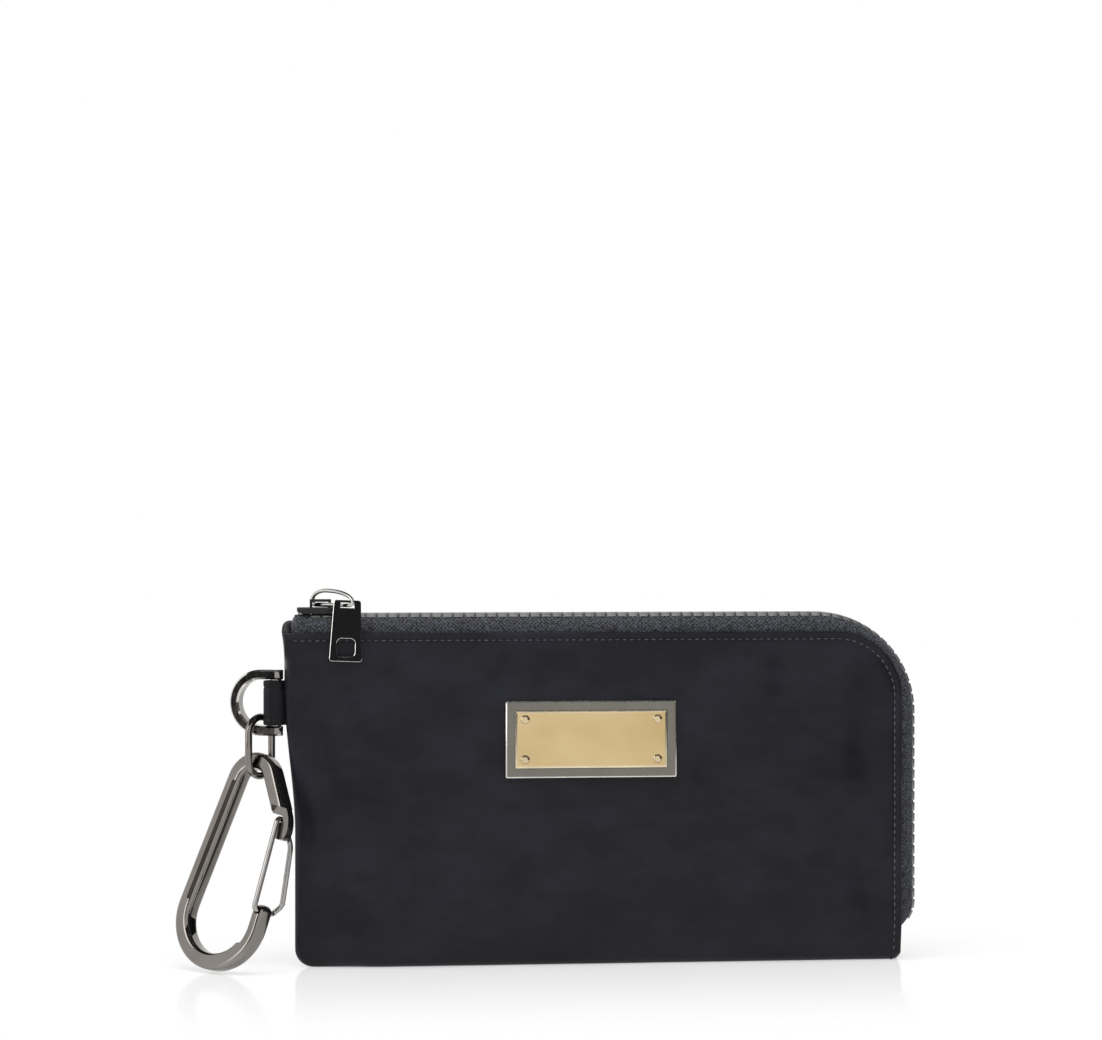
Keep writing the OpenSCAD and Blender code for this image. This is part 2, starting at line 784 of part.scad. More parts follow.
module plate_rivets() {
    head_y = face_y - floor_t - plate_t;
    head_h = rivet_d / 3;
    dome_r = (rivet_d * rivet_d / 4 + head_h * head_h) / (2 * head_h);
    inner_y = panel_t + backer_t + fit - half_belly;
    tail_t = 0.2;
    color("#bdbbb4") rivet_places() {
        translate([0, head_y, 0]) rotate([90, 0, 0]) intersection() {
            translate([0, 0, head_h - dome_r]) sphere(dome_r);
            cylinder(d = 2 * rivet_d, h = rivet_d);
        }
        translate([0, inner_y, 0]) rotate([90, 0, 0]) cylinder(d = shank_d, h = inner_y - head_y);
        translate([0, inner_y + tail_t, 0]) rotate([90, 0, 0]) cylinder(d = rivet_d, h = tail_t);
    }
}
module plate_backer() {
    color("#5a5a5e") difference() {
        on_front(-panel_t - backer_t - fit) translate([-frame_w / 2, -frame_h / 2, 0])
            cube([frame_w, frame_h, backer_t]);
        rivet_places() rotate([90, 0, 0]) cylinder(d = shank_d + 2 * fit, h = belly);
    }
}

// Webbing loop and D-ring at the left seam
seam_x = left_at(strap_z);
bar_x = left_at(panel_h) - run_gap - band_d / 2;
loop_r = bar_d / 2 + run_gap;
loop_x = seam_x - strap_out + loop_r + strap_t;
module side_loop() {
    outer_r = loop_r + strap_t;
    join = asin(strap_t / outer_r);
    tail_x = seam_x + strap_in;
    outline = concat(
        [[tail_x, -strap_t]],
        arc([bar_x, 0], outer_r, -join, -90, 5),
        arc([loop_x, 0], outer_r, -90, -270, 12),
        arc([bar_x, 0], outer_r, -270, join - 360, 5),
        [[tail_x, strap_t]]
    );
    eye = concat(arc([loop_x, 0], loop_r, 90, 270, 12), arc([bar_x, 0], loop_r, -90, 90, 12));
    color("#2b2b33") translate([0, 0, strap_z - strap_w / 2]) linear_extrude(strap_w) difference() {
        polygon(outline);
        polygon(eye);
    }
}

dring_in = strap_w / 2 + run_gap;
dring_r = dring_in + band_w;
arm_l = dring_out - dring_r;
module at_dring() {
    translate([bar_x, 0, strap_z]) rotate([0, 0, 180 - dring_swing]) children();
}
module d_ring() {
    arm = concat([[arm_l, -band_d / 2], [arm_l, band_d / 2]], arc([0, 0], band_d / 2, 90, 270, 12));
    color("#77757a") at_dring() {
        for (z = [dring_in, -dring_r]) translate([0, 0, z]) linear_extrude(band_w) polygon(arm);
        translate([arm_l, 0, 0]) rotate([90, 0, 0]) rotate([0, 0, -90]) rotate_extrude(angle = 180)
            translate([dring_in, -band_d / 2]) square([band_w, band_d]);
        translate([0, 0, -dring_in]) cylinder(d = bar_d, h = 2 * dring_in);
    }
}

// Chain link over the lower arm of the D-ring
link_r = (link_w - link_d) / 2;
link_skew = link_turn - dring_swing;
link_half = band_d / 2 / cos(link_skew) + link_d / 2 * tan(link_skew);
link_sag = link_r - sqrt(link_r * link_r - link_half * link_half);
link_climb = max(0, link_out + over - arm_l);
link_seat = strap_z - sqrt(dring_in * dring_in - link_climb * link_climb);
link_top = link_seat + cord_gap + link_sag + link_d / 2;
link_x = bar_x - link_out * cos(dring_swing);
link_y = link_out * sin(dring_swing);
module chain_link() {
    straight = link_h - link_w;
    color("#8d8b8d") translate([link_x, link_y, link_top - link_r]) rotate([0, 0, link_turn]) {
        wire_bend(link_r, link_d, 0);
        wire_bend(link_r, link_d, 90);
        translate([0, 0, -straight]) wire_bend(link_r, link_d, 180);
        translate([0, 0, -straight]) wire_bend(link_r, link_d, 270);
        for (x = [-link_r, link_r]) translate([x, 0, -straight]) cylinder(d = link_d, h = straight);
    }
}

// Carabiner, drawn in its own X-Z plane about the centre of its top bend
carab_gap = 0.75;
carab_round = 1.5;
carab_in = carab_top_r - carab_w / 2;
low_c = [carab_shift, -carab_l];
axis_lean = atan2(carab_shift, carab_l);
spine_lean = asin((carab_low_r - carab_top_r) / norm(low_c)) - axis_lean;
nose_start = carab_top_r * [cos(nose_angle), sin(nose_angle)];
nose_dir = [sin(nose_angle), -cos(nose_angle)];
nose_turn = nose_start + nose_run * nose_dir;
nose_c = nose_turn - nose_r * [cos(nose_angle), sin(nose_angle)];
nose_end = nose_c + [nose_r, 0];
arm_x = low_c[0] + carab_low_r;
hinge = [arm_x, low_c[1] + hinge_arm];
tongue_l = 7;
leg_y = tongue_d / 2 + gate_d / 2 + sew_gap;
hook = nose_end + [gate_d / 2 + run_gap - carab_w / 2, tongue_l / 2];

// Stations along the bar: a place, the angle of its outer side, what is cut from its inner side
// and how full its section is, which falls to a round tip at the hinge
hinge_trim = 1.1;
hinge_mid = hinge_trim / 2;
hinge_tip_r = carab_w / 2 - hinge_mid;
step_high = -26;
step_low = -31;
function bend(centre, radius, from, to, steps, trim = 0) = [
    for (k = [0 : steps])
        let (a = from + (to - from) * k / steps)
        [centre + radius * [cos(a), sin(a)], a, trim, 1]
];
carab_path = concat(
    [for (t = [75, 55, 35, 15]) [hinge + [0, hinge_tip_r * sin(t)], 0, hinge_trim, cos(t)]],
    [[hinge, 0, hinge_trim, 1]],
    bend(low_c, carab_low_r, 0, step_high, 3, hinge_trim),
    bend(low_c, carab_low_r, step_low, -180 - spine_lean, 14),
    bend([0, 0], carab_top_r, 180 - spine_lean, nose_angle, 12),
    bend(nose_c, nose_r, nose_angle, 0, 3)
);
carab_section = round_box(carab_w / 2, carab_d / 2, carab_round);
function carab_ring(station) =
    let (p = station[0], a = station[1], trim = station[2], full = station[3], mid = trim / 2)
    [
        for (q = carab_section)
            let (
                side = q[0] < 0 ? q[0] * (1 - 2 * trim / carab_w) : q[0],
                r = mid + (side - mid) * full
            )
            [p[0] + r * cos(a), q[1] * full, p[1] + r * sin(a)]
    ];

module nose_tip() {
    translate([nose_end[0], tongue_d / 2, nose_end[1]]) rotate([90, 0, 0]) linear_extrude(tongue_d)
        polygon(concat(
            arc([0, 0], carab_w / 2, 180, 360, 12),
            [[carab_w / 2, over], [-carab_w / 2, over]]
        ));
}
module nose_cut() {
    for (side = [0, 1]) mirror([0, side, 0])
        translate([nose_end[0] - carab_w, tongue_d / 2, nose_end[1] - over])
            cube([2 * carab_w, carab_d, tongue_l + over]);
}
spine_top = carab_top_r * [-cos(spine_lean), sin(spine_lean)];
spine_low = low_c + carab_low_r * [-cos(spine_lean), sin(spine_lean)];
module spine_channel() {
    length = norm(spine_top - spine_low) - 2 * over;
    slot = concat(
        arc([0, length - channel_w / 2], channel_w / 2, 0, 180, 10),
        arc([0, channel_w / 2], channel_w / 2, 180, 360, 10)
    );
    for (side = [0, 1]) mirror([0, side, 0])
        translate([spine_low[0], 0, spine_low[1]]) rotate([0, spine_lean, 0])
            translate([channel_in, carab_d / 2 + over, over])
            rotate([90, 0, 0]) linear_extrude(channel_d + over) polygon(slot);
}

// Place of the carabiner on the foot of the link
hang = carab_in - link_d / 2 - carab_gap;
// The carabiner leans, so it rides a little way up one side of the link's lower bend.
pivot_x = link_x - link_r * sin(carab_lean) * cos(link_turn);
pivot_y = link_y - link_r * sin(carab_lean) * sin(link_turn);
pivot_z = link_top + link_d - link_h + link_r * (1 - cos(carab_lean));
module at_carabiner() {
    translate([pivot_x, pivot_y, pivot_z])
        rotate([0, 0, carab_turn - 90])
        rotate([-carab_lean, 0, 0])
        rotate([0, carab_tilt, 0])
        translate([hang * sin(carab_tilt), 0, -hang * cos(carab_tilt)])
        children();
}
module cross_hole(place, wire) {
    translate([place[0], carab_d, place[1]]) rotate([90, 0, 0]) cylinder(d = wire, h = 2 * carab_d);
}
pin = hinge + [hinge_mid, 0];
notch_w = gate_d + 2 * run_gap;
module carabiner_body() {
    color("#8f8d8e") at_carabiner() {
        difference() {
            union() {
                tube([for (station = carab_path) carab_ring(station)]);
                nose_tip();
            }
            spine_channel();
            nose_cut();
            cross_hole(hook, notch_w);
            translate([hook[0] - carab_w, -carab_d, hook[1] - notch_w / 2])
                cube([carab_w, 2 * carab_d, notch_w]);
            cross_hole(pin, gate_d + 2 * sew_gap);
        }
    }
}

// Wire gate: a loop of wire round the nose, with its ends pinned in the hinge
gate_sides = 10;
gate_bend = 1.3;
pin_in = 1;
foot_y = gate_foot_w / 2;
far_y = foot_y + gate_stand;
gate_l = norm(hook - pin);
gate_dir = (hook - pin) / gate_l;
near_half = concat(
    [[-pin_in, 0, 0]],
    [for (p = arc([foot_y - gate_bend, gate_bend], gate_bend, -90, 0, 4)) [-p[0], p[1], 0]],
    [for (p = arc([leg_y - gate_bend, gate_l - gate_bend], gate_bend, 0, 90, 4)) [-p[0], p[1], 0]]
);
// The far leg springs the gate shut: it stands off the hinge and bows out on its way to the nose.
bow_low = 3.5;
bow_high = 7;
far_steps = 9;
function bow_at(s) = gate_bow * ease(s / bow_low) * ease((gate_l - gate_bend - s) / bow_high);
far_leg = [
    for (k = [0 : far_steps])
        let (s = gate_bend + (gate_l - 2 * gate_bend) * k / far_steps)
        [far_y + (leg_y - far_y) * k / far_steps, s, bow_at(s)]
];
far_half = concat(
    [[pin_in, 0, 0]],
    [for (p = arc([far_y - gate_bend, gate_bend], gate_bend, -90, -18, 4)) [p[0], p[1], bow_at(p[1])]],
    far_leg,
    [for (p = arc([leg_y - gate_bend, gate_l - gate_bend], gate_bend, 18, 90, 4)) [p[0], p[1], 0]]
);
far_last = len(far_half) - 1;
gate_path = concat(near_half, [for (k = [far_last : -1 : 0]) far_half[k]]);
gate_last = len(gate_path) - 1;
function gate_ring(k) =
    let (
        run = gate_path[min(gate_last, k + 1)] - gate_path[max(0, k - 1)],
        ahead = run / norm(run),
        flat = [ahead[1], -ahead[0], 0],
        side = flat / norm(flat),
        face = cross(side, ahead)
    )
    [
        for (n = [0 : gate_sides - 1])
            let (
                a = 360 * n / gate_sides,
                p = gate_path[k] + gate_d / 2 * (cos(a) * side + sin(a) * face)
            )
            [
                pin[0] + p[1] * gate_dir[0] + p[2] * gate_dir[1],
                p[0],
                pin[1] + p[1] * gate_dir[1] - p[2] * gate_dir[0]
            ]
    ];
module wire_gate() {
    color("#a8a6a6") at_carabiner() tube([for (k = [0 : len(gate_path) - 1]) gate_ring(k)]);
}

front_panel();
back_panel();
front_lining();
back_lining();
front_zip_tape();
back_zip_tape();
front_zip_teeth();
back_zip_teeth();
top_stops();
bottom_stop();
slider_body();
pull_ring();
pull_tab();
plate_frame();
face_plate();
plate_rivets();
plate_backer();
side_loop();
d_ring();
chain_link();
carabiner_body();
wire_gate();
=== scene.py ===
"""Zippered pouch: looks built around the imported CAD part."""
import math

import bmesh
import bpy
import numpy as np
from mathutils import Matrix, Vector


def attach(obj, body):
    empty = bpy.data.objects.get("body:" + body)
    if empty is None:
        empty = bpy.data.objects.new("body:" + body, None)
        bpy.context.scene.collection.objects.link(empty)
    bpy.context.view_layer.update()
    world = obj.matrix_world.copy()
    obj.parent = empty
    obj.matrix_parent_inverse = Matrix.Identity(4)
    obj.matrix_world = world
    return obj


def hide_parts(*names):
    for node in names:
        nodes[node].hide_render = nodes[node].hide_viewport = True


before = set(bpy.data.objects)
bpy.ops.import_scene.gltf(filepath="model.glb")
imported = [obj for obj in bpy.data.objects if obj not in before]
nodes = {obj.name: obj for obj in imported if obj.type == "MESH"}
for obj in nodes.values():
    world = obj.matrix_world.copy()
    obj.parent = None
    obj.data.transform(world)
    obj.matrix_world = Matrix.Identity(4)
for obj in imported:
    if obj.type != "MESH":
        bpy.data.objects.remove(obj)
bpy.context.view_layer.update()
scene = bpy.context.scene
MM = 0.001

# Sizes repeated from part.scad, in millimetres and degrees
PANEL_T, PANEL_H = 1.0, 100.4
X_RIGHT, X_LEFT, FOOT_R = 92.0, -92.0, 5.5
LEFT_FLARE, FLARE_LOW, FLARE_HIGH, SEAM_OPENS = 3.2, 40.0, 84.0, 27.0
HALF_BELLY, HALF_ZIP, HALF_BASE, HALF_SEAM = 8.5, 7.0, 5.5, 2.0
SEAM_SWELL, BASE_SWELL, ZIP_FLAT, ZIP_SWELL, SWELL_POWER = 34.0, 22.0, 9.0, 11.0, 6.0
NOTCH_Z = PANEL_H - 6.0
LINING_T, LINING_GAP, LINING_INSET, LINING_EDGE = 0.5, 0.75, 9.0, 6.3
ZIP_RISE, ROLL_R, ROLL_ANGLE, ROLL_Z, ROLL_CORE, ROLL_LEAD = 5.0, 9.5, 60.0, 18.0, 1.2, 8.0
TAPE_T, TAPE_HEM, TAPE_INSET, BEAD_Y, SEW_GAP = 0.7, 6.0, 0.2, 2.6, 0.35
TOOTH_PITCH, TOOTH_REACH = 3.3, 1.2
STRAP_W, STRAP_T, STRAP_IN, STRAP_Z, BAR_X, LOOP_R = 13.4, 0.9, 6.0, 79.4, -97.6, 1.9
PLATE_X, PLATE_Z, FRAME_W, FRAME_H, FACE_Y = -3.5, 68.4, 51.6, 23.0, -8.525
RING_H, RING_TAIL, RING_TURN, BAIL_X, BAIL_Z = 5.4, 3.9, 46.0, -84.4, 108.75
BAND_W, BAND_D, BAND_IN, ARM_L, DRING_SWING, BAR_D = 2.9, 4.2, 7.0, 4.5, 23.0, 3.2
LINK_D, LINK_W, LINK_H, LINK_TURN = 2.2, 12.0, 19.9, 45.0
LINK_AT = (-102.387, 2.0318, 74.9767)
CARAB_W, CARAB_D, CARAB_TOP_R, CARAB_LOW_R, CARAB_ROUND = 5.0, 5.6, 7.0, 13.6, 1.5
LOW_C, HINGE, PIN = (3.0, -40.4), (16.6, -35.4), (17.15, -35.4)
NOSE_C, NOSE_R, NOSE_ANGLE, NOSE_END = (7.746, -11.442), 7.7, 37.0, (15.446, -11.442)
HOOK, SPINE_LEAN, HINGE_TRIM = (14.046, -7.942), 5.12945, 1.1
TONGUE_D, TONGUE_L = 2.8, 7.0
CHANNEL_D, CHANNEL_W, CHANNEL_IN = 0.9, 1.2, 0.9
PIVOT, HANG = (-103.342, 1.077, 57.467), 2.65
CARAB_LEAN, CARAB_TILT, CARAB_TURN = 16.0, 9.5, 51.0
GATE_D, GATE_FOOT_W, GATE_STAND, GATE_BOW, GATE_BEND, LEG_Y = 1.6, 8.6, 1.0, 2.6, 1.3, 2.55

# Sizes that follow the photograph where the solids are simpler
CORNER_R, TOE_R, ZIP_SIDE, ZIP_CORNER_R = 20.0, 0.8, 4.0, 30.0
RING_D, RING_R, RING_NOSE_R, RING_END = 1.3, 1.3, 1.2, 13.3
RING_POWER, RING_PEAK, RING_THIN = 2.0, 5.6, 0.11


def ease(v):
    """A smooth step from 0 to 1."""
    c = np.clip(v, 0, 1)
    return c * c * (3 - 2 * c)


def quarter(a, r):
    """A quarter round: 0 at the edge, 1 from r inwards."""
    return np.sqrt(np.clip(1 - np.clip(1 - a / r, 0, 1) ** 2, 0, 1))


def bell(v, middle, width):
    """1 in the middle, falling to 0 on both sides."""
    return np.exp(-(((v - middle) / width) ** 2))


def drawn_in(d, r):
    """How far a round of radius r draws an edge in, at d past its start."""
    return r - np.sqrt(np.maximum(0, r**2 - np.maximum(0, d) ** 2))


def left_at(z):
    z = np.asarray(z, float)
    flare = LEFT_FLARE * ease((z - FLARE_LOW) / (FLARE_HIGH - FLARE_LOW))
    return X_LEFT - flare + drawn_in(FOOT_R - z, FOOT_R)


def right_at(z):
    z = np.asarray(z, float)
    return X_RIGHT - drawn_in(z - (PANEL_H - CORNER_R), CORNER_R) - drawn_in(TOE_R - z, TOE_R)


def zip_depth(x, z):
    """Distance in from the edge that the zip follows."""
    cx, cz = X_RIGHT - CORNER_R, PANEL_H - CORNER_R
    flat = np.minimum(X_RIGHT - x, PANEL_H - z)
    return np.where((x > cx) & (z > cz), CORNER_R - np.hypot(x - cx, z - cz), flat)


def half_t(x, z):
    """Half the pouch's thickness."""
    opened = ease((z - PANEL_H + SEAM_OPENS) / (SEAM_OPENS - 1))
    seam_at = HALF_SEAM + (HALF_ZIP - HALF_SEAM) * opened
    seam_in = (HALF_BELLY - seam_at) * (1 - ease((x - left_at(z)) / SEAM_SWELL))
    base_in = (HALF_BELLY - HALF_BASE) * (1 - ease(z / BASE_SWELL))
    zip_in = (HALF_BELLY - HALF_ZIP) * (1 - ease((zip_depth(x, z) - ZIP_FLAT) / ZIP_SWELL))
    p = SWELL_POWER
    return HALF_BELLY - (seam_in**p + base_in**p + zip_in**p) ** (1 / p)


def half_at(x, z):
    return float(half_t(np.array(x), np.array(z)))


def new_object(name, data):
    obj = bpy.data.objects.new(name, data)
    scene.collection.objects.link(obj)
    return obj


def new_mesh(name, verts, faces, unit=MM):
    mesh = bpy.data.meshes.new(name)
    mesh.from_pydata((np.asarray(verts, float) * unit).tolist(), [], [list(map(int, f)) for f in faces])
    return mesh


def point_at(obj, where, way):
    obj.location = where
    obj.rotation_mode = "QUATERNION"
    obj.rotation_quaternion = way.to_track_quat("-Z", "Y")


# Camera at the photograph's angle, level
CAM_TURN, CAM_DIST, CAM_AIM = math.radians(-6.0), 900.0, (-14.7, 0.0, 134.2)
FOCAL_PX, PHOTO_W, SENSOR = 2970.0, 1102.0, 36
cam_data = bpy.data.cameras.new("camera")
cam_data.sensor_width = SENSOR
cam_data.lens = SENSOR * FOCAL_PX / PHOTO_W
cam_data.clip_start, cam_data.clip_end = 0.01, 50
cam = new_object("camera", cam_data)
cam_back = Vector((math.sin(CAM_TURN), -math.cos(CAM_TURN), 0))
point_at(cam, (Vector(CAM_AIM) + cam_back * CAM_DIST) * MM, -cam_back)
scene.camera = cam
scene.view_settings.view_transform = "Standard"


class Tree:
    """Short calls for the nodes of a material or a world."""

    def __init__(self, owner):
        owner.use_nodes = True
        self.owner = owner
        self.nodes, self.links = owner.node_tree.nodes, owner.node_tree.links
        self.nodes.clear()

    def put(self, socket, value):
        """Links another node's output to a socket, or sets its value."""
        if hasattr(value, "node"):
            self.links.new(value, socket)
        else:
            socket.default_value = value

    def node(self, kind, *inputs, **values):
        """A new node: inputs go to its sockets in order, values to settings or sockets by name."""
        n = self.nodes.new("ShaderNode" + kind)
        for k, v in values.items():
            if hasattr(n, k):
                setattr(n, k, v)
            else:
                self.put(n.inputs[k.replace("_", " ")], v)
        for socket, v in zip(n.inputs, inputs):
            self.put(socket, v)
        return n

    def math(self, op, a, b):
        return self.node("Math", a, b, operation=op).outputs[0]

    def seen(self):
        """1 for the rays that show the plain background, 0 for those that light the object."""
        rays = self.node("LightPath").outputs
        found = rays["Is Camera Ray"]
        for kind in ("Is Glossy Ray", "Is Transmission Ray"):
            found = self.math("MAXIMUM", found, rays[kind])
        return found

    def mixed(self, output, amount, first, second):
        mix = self.node("MixShader", amount, first.outputs[0], second.outputs[0])
        self.node(output, mix.outputs[0])


# World: soft light, brighter from above, and plain white to the eye
scene.world = bpy.data.worlds.new("studio")
sky = Tree(scene.world)
sky_up = sky.node("SeparateXYZ", sky.node("TexCoord").outputs["Generated"]).outputs["Z"]
sky_tone = sky.node("MapRange", Value=sky_up, From_Min=-0.2, From_Max=0.9, To_Min=0.35, To_Max=1.2)
sky_lit = sky.node("Background", Color=sky_tone.outputs[0], Strength=0.42)
sky_white = sky.node("Background", Color=(1, 1, 1, 1), Strength=1.0)
sky.mixed("OutputWorld", sky.seen(), sky_lit, sky_white)

# Lamps: place, aim and size in metres, then power
LAMPS = {
    "top": ((-0.1, -0.25, 0.9), (0, 0, 0.03), (0.9, 0.6), 8.0),
    "left": ((-0.8, -0.45, 0.35), (-0.05, 0, 0.06), (0.35, 0.7), 1.7),
    "right": ((0.8, -0.4, 0.4), (0.05, 0, 0.06), (0.35, 0.7), 1.3),
}
for lamp_name, (lamp_at, lamp_aim, lamp_size, lamp_power) in LAMPS.items():
    lamp = bpy.data.lights.new(lamp_name, "AREA")
    lamp.shape = "RECTANGLE"
    lamp.size, lamp.size_y = lamp_size
    lamp.energy = lamp_power
    point_at(new_object(lamp_name, lamp), lamp_at, Vector(lamp_aim) - Vector(lamp_at))


def stage_plane(name, corners, material):
    mesh = new_mesh(name, corners, [(0, 1, 2, 3)], 1)
    mesh.materials.append(material)
    obj = new_object(name, mesh)
    return obj


# Floor: near white to the eye, fading to pure white away from the object, with the object's shadow
FLOOR_HALF, FOOTPRINT = 4, (0.1, 0.01, 0.0)
FLOOR_FADE = {"From_Min": 0.0, "From_Max": 0.12, "To_Min": 0.5, "To_Max": 1.0}
floor = Tree(bpy.data.materials.new("floor"))
floor_base = floor.node("BsdfPrincipled", Base_Color=(0.9, 0.9, 0.9, 1), Roughness=0.14)
floor_away = floor.node("TexCoord").outputs["Object"]
for floor_step, *floor_by in (("ABSOLUTE",), ("SUBTRACT", FOOTPRINT), ("MAXIMUM", (0, 0, 0)), ("LENGTH",)):
    floor_math = floor.node("VectorMath", floor_away, *floor_by, operation=floor_step)
    floor_away = floor_math.outputs["Value" if floor_step == "LENGTH" else "Vector"]
floor_fade = floor.node("MapRange", interpolation_type="SMOOTHSTEP", Value=floor_away, **FLOOR_FADE)
floor_white = floor.math("MULTIPLY", floor.seen(), floor_fade.outputs[0])
floor.mixed("OutputMaterial", floor_white, floor_base, floor.node("Emission"))
floor_corners = [(x * FLOOR_HALF, y * FLOOR_HALF, 0) for x, y in ((-1, -1), (1, -1), (1, 1), (-1, 1))]
stage_plane("floor", floor_corners, floor.owner)

# Dark cards that only reflections see, as a studio has beside its table
CARDS = {
    "card_right": [(0.5, -0.75, 0), (0.5, 0.5, 0), (0.5, 0.5, 0.5), (0.5, -0.75, 0.5)],
    "card_front": [(-0.77, -0.57, 0), (-0.5, -0.8, 0), (-0.5, -0.8, 0.45), (-0.77, -0.57, 0.45)],
    "card_top": [(-0.6, -0.62, 0.6), (0.6, -0.62, 0.6), (0.6, 0.4, 0.6), (-0.6, 0.4, 0.6)],
}
dark = Tree(bpy.data.materials.new("card"))
dark_base = dark.node("BsdfDiffuse", Color=(0.02, 0.02, 0.022, 1))
dark.node("OutputMaterial", dark_base.outputs[0])
for card_name, card_corners in CARDS.items():
    card = stage_plane(card_name, card_corners, dark.owner)
    card.visible_camera = card.visible_diffuse = card.visible_shadow = card.visible_transmission = False


def srgb(*levels):
    """A colour from levels of 0 to 255."""
    lin = [v / 255 / 12.92 if v / 255 <= 0.04045 else ((v / 255 + 0.055) / 1.055) ** 2.4 for v in levels]
    return (*lin, 1)


class Mat(Tree):
    """A Principled material with short calls for its textures."""

    def __init__(self, name, **sockets):
        super().__init__(bpy.data.materials.new(name))
        self.p = self.node("BsdfPrincipled", **sockets)
        self.node("OutputMaterial", self.p.outputs[0])
        self.coord = self.node("TexCoord")
        self.bumps = []

    def mapping(self, scale, source="Object", rotation=(0, 0, 0)):
        return self.node("Mapping", self.coord.outputs[source], Scale=scale, Rotation=rotation).outputs[0]

    def noise(self, scale, detail, rough=0.5):
        at = self.mapping(scale if hasattr(scale, "__len__") else (scale,) * 3)
        return self.node("TexNoise", at, Detail=detail, Roughness=rough, Scale=1.0).outputs["Fac"]

    def wave(self, period, along, source="Object", rotation=(0, 0, 0)):
        """Ribs with a period in the units of the coordinates; the texture's own period is pi / 10."""
        at = self.mapping((math.pi / 10 / period,) * 3, source, rotation)
        return self.node("TexWave", at, wave_type="BANDS", bands_direction=along, Scale=1.0).outputs["Fac"]

    def blend(self, a, share, b):
        """A share of a, and the rest of b."""
        return self.math("ADD", self.math("MULTIPLY", a, share), self.math("MULTIPLY", b, 1 - share))

    def ramp(self, socket, fac, *stops):
        r = self.node("ValToRGB", fac)
        for el, (pos, col) in zip(r.color_ramp.elements, stops):
            el.position = pos
            el.color = col if hasattr(col, "__len__") else (col, col, col, 1)
        self.put(self.p.inputs[socket], r.outputs[0])

    def color(self, fac, *stops):
        self.ramp("Base Color", fac, *stops)

    def rough(self, fac, *stops):
        self.ramp("Roughness", fac, *stops)

    def bump(self, height, strength, distance):
        """A bump on top of those made before it."""
        b = self.node("Bump", Strength=strength, Distance=distance, Height=height)
        if self.bumps:
            self.put(b.inputs["Normal"], self.bumps[-1])
        self.bumps.append(b.outputs[0])
        self.put(self.p.inputs["Normal"], b.outputs[0])


def metal(name, color, rough, wear=0.06, dull=0.8):
    """Plated metal: cloudy tone, fine wear in its gloss."""
    m = Mat(name, Metallic=1.0)
    m.color(m.noise(120, 3), (0.3, tuple(c * dull for c in color[:3]) + (1,)), (0.7, color))
    m.rough(m.noise((900, 900, 300), 3), (0.3, rough), (0.75, rough + wear))
    return m.owner


def gold_plate():
    """Brushed gold with a fine grain."""
    m = Mat("gold_plate", Metallic=1.0)
    grain = m.noise((1400, 60, 40), 2)
    m.color(m.noise((36, 30, 60), 2), (0.3, srgb(199, 173, 124)), (0.7, srgb(218, 195, 150)))
    m.rough(grain, (0.3, 0.2), (0.75, 0.24))
    m.bump(grain, 0.02, 0.00002)
    return m.owner


def coated(name, grain, rough, **sockets):
    """One colour with an uneven gloss: enamel or board."""
    m = Mat(name, **sockets)
    m.rough(m.noise(grain, 2), (0.3, rough[0]), (0.7, rough[1]))
    return m.owner


def cloth_mat(name, dark, light, rough, thread, spec, sheen, blotch=0.0):
    """Woven cloth: crossing threads, cloudy colour (random tone, on the nylon partly a painted sheen) and an
    uneven surface.
    """
    m = Mat(name, Specular_IOR_Level=spec, Sheen_Weight=sheen, Sheen_Roughness=0.45)
    weave = m.math("MULTIPLY", m.wave(thread * MM, "X"), m.wave(thread * MM, "Z"))
    cloud = m.noise((46, 46, 76), 7, rough=0.62)
    m.color(m.blend(cloud, 0.8, weave), (0.3, dark), (0.66, light))
    m.rough(cloud, (0.3, rough), (0.7, rough + 0.12))
    if blotch:
        m.bump(m.noise((30, 30, 48), 3), 0.35, blotch)
    m.bump(weave, 0.35, 0.00004)
    return m.owner


def stitch_thread():
    m = Mat("stitch_thread", Roughness=0.55, Specular_IOR_Level=0.3)
    m.color(m.noise(900, 2), (0.3, srgb(66, 66, 72)), (0.7, srgb(98, 98, 105)))
    m.bump(m.wave(0.35 * MM, "DIAGONAL"), 0.5, 0.00005)
    return m.owner


def tape_knit():
    """Two slanting sets of loops under a speckle."""
    m = Mat("tape_knit", Specular_IOR_Level=0.2, Sheen_Weight=0.15, Sheen_Roughness=0.5)
    slants = [m.wave(0.62, "DIAGONAL", "UV", (0, 0, turn)) for turn in (0, math.pi / 2)]
    cloud = m.noise(1500, 5, rough=0.65)
    shade = m.blend(cloud, 0.84, m.math("MAXIMUM", *slants))
    m.color(shade, (0.44, srgb(11, 12, 14)), (0.68, srgb(83, 85, 93)))
    m.rough(cloud, (0.3, 0.6), (0.7, 0.8))
    m.bump(shade, 0.8, 0.00015)
    return m.owner


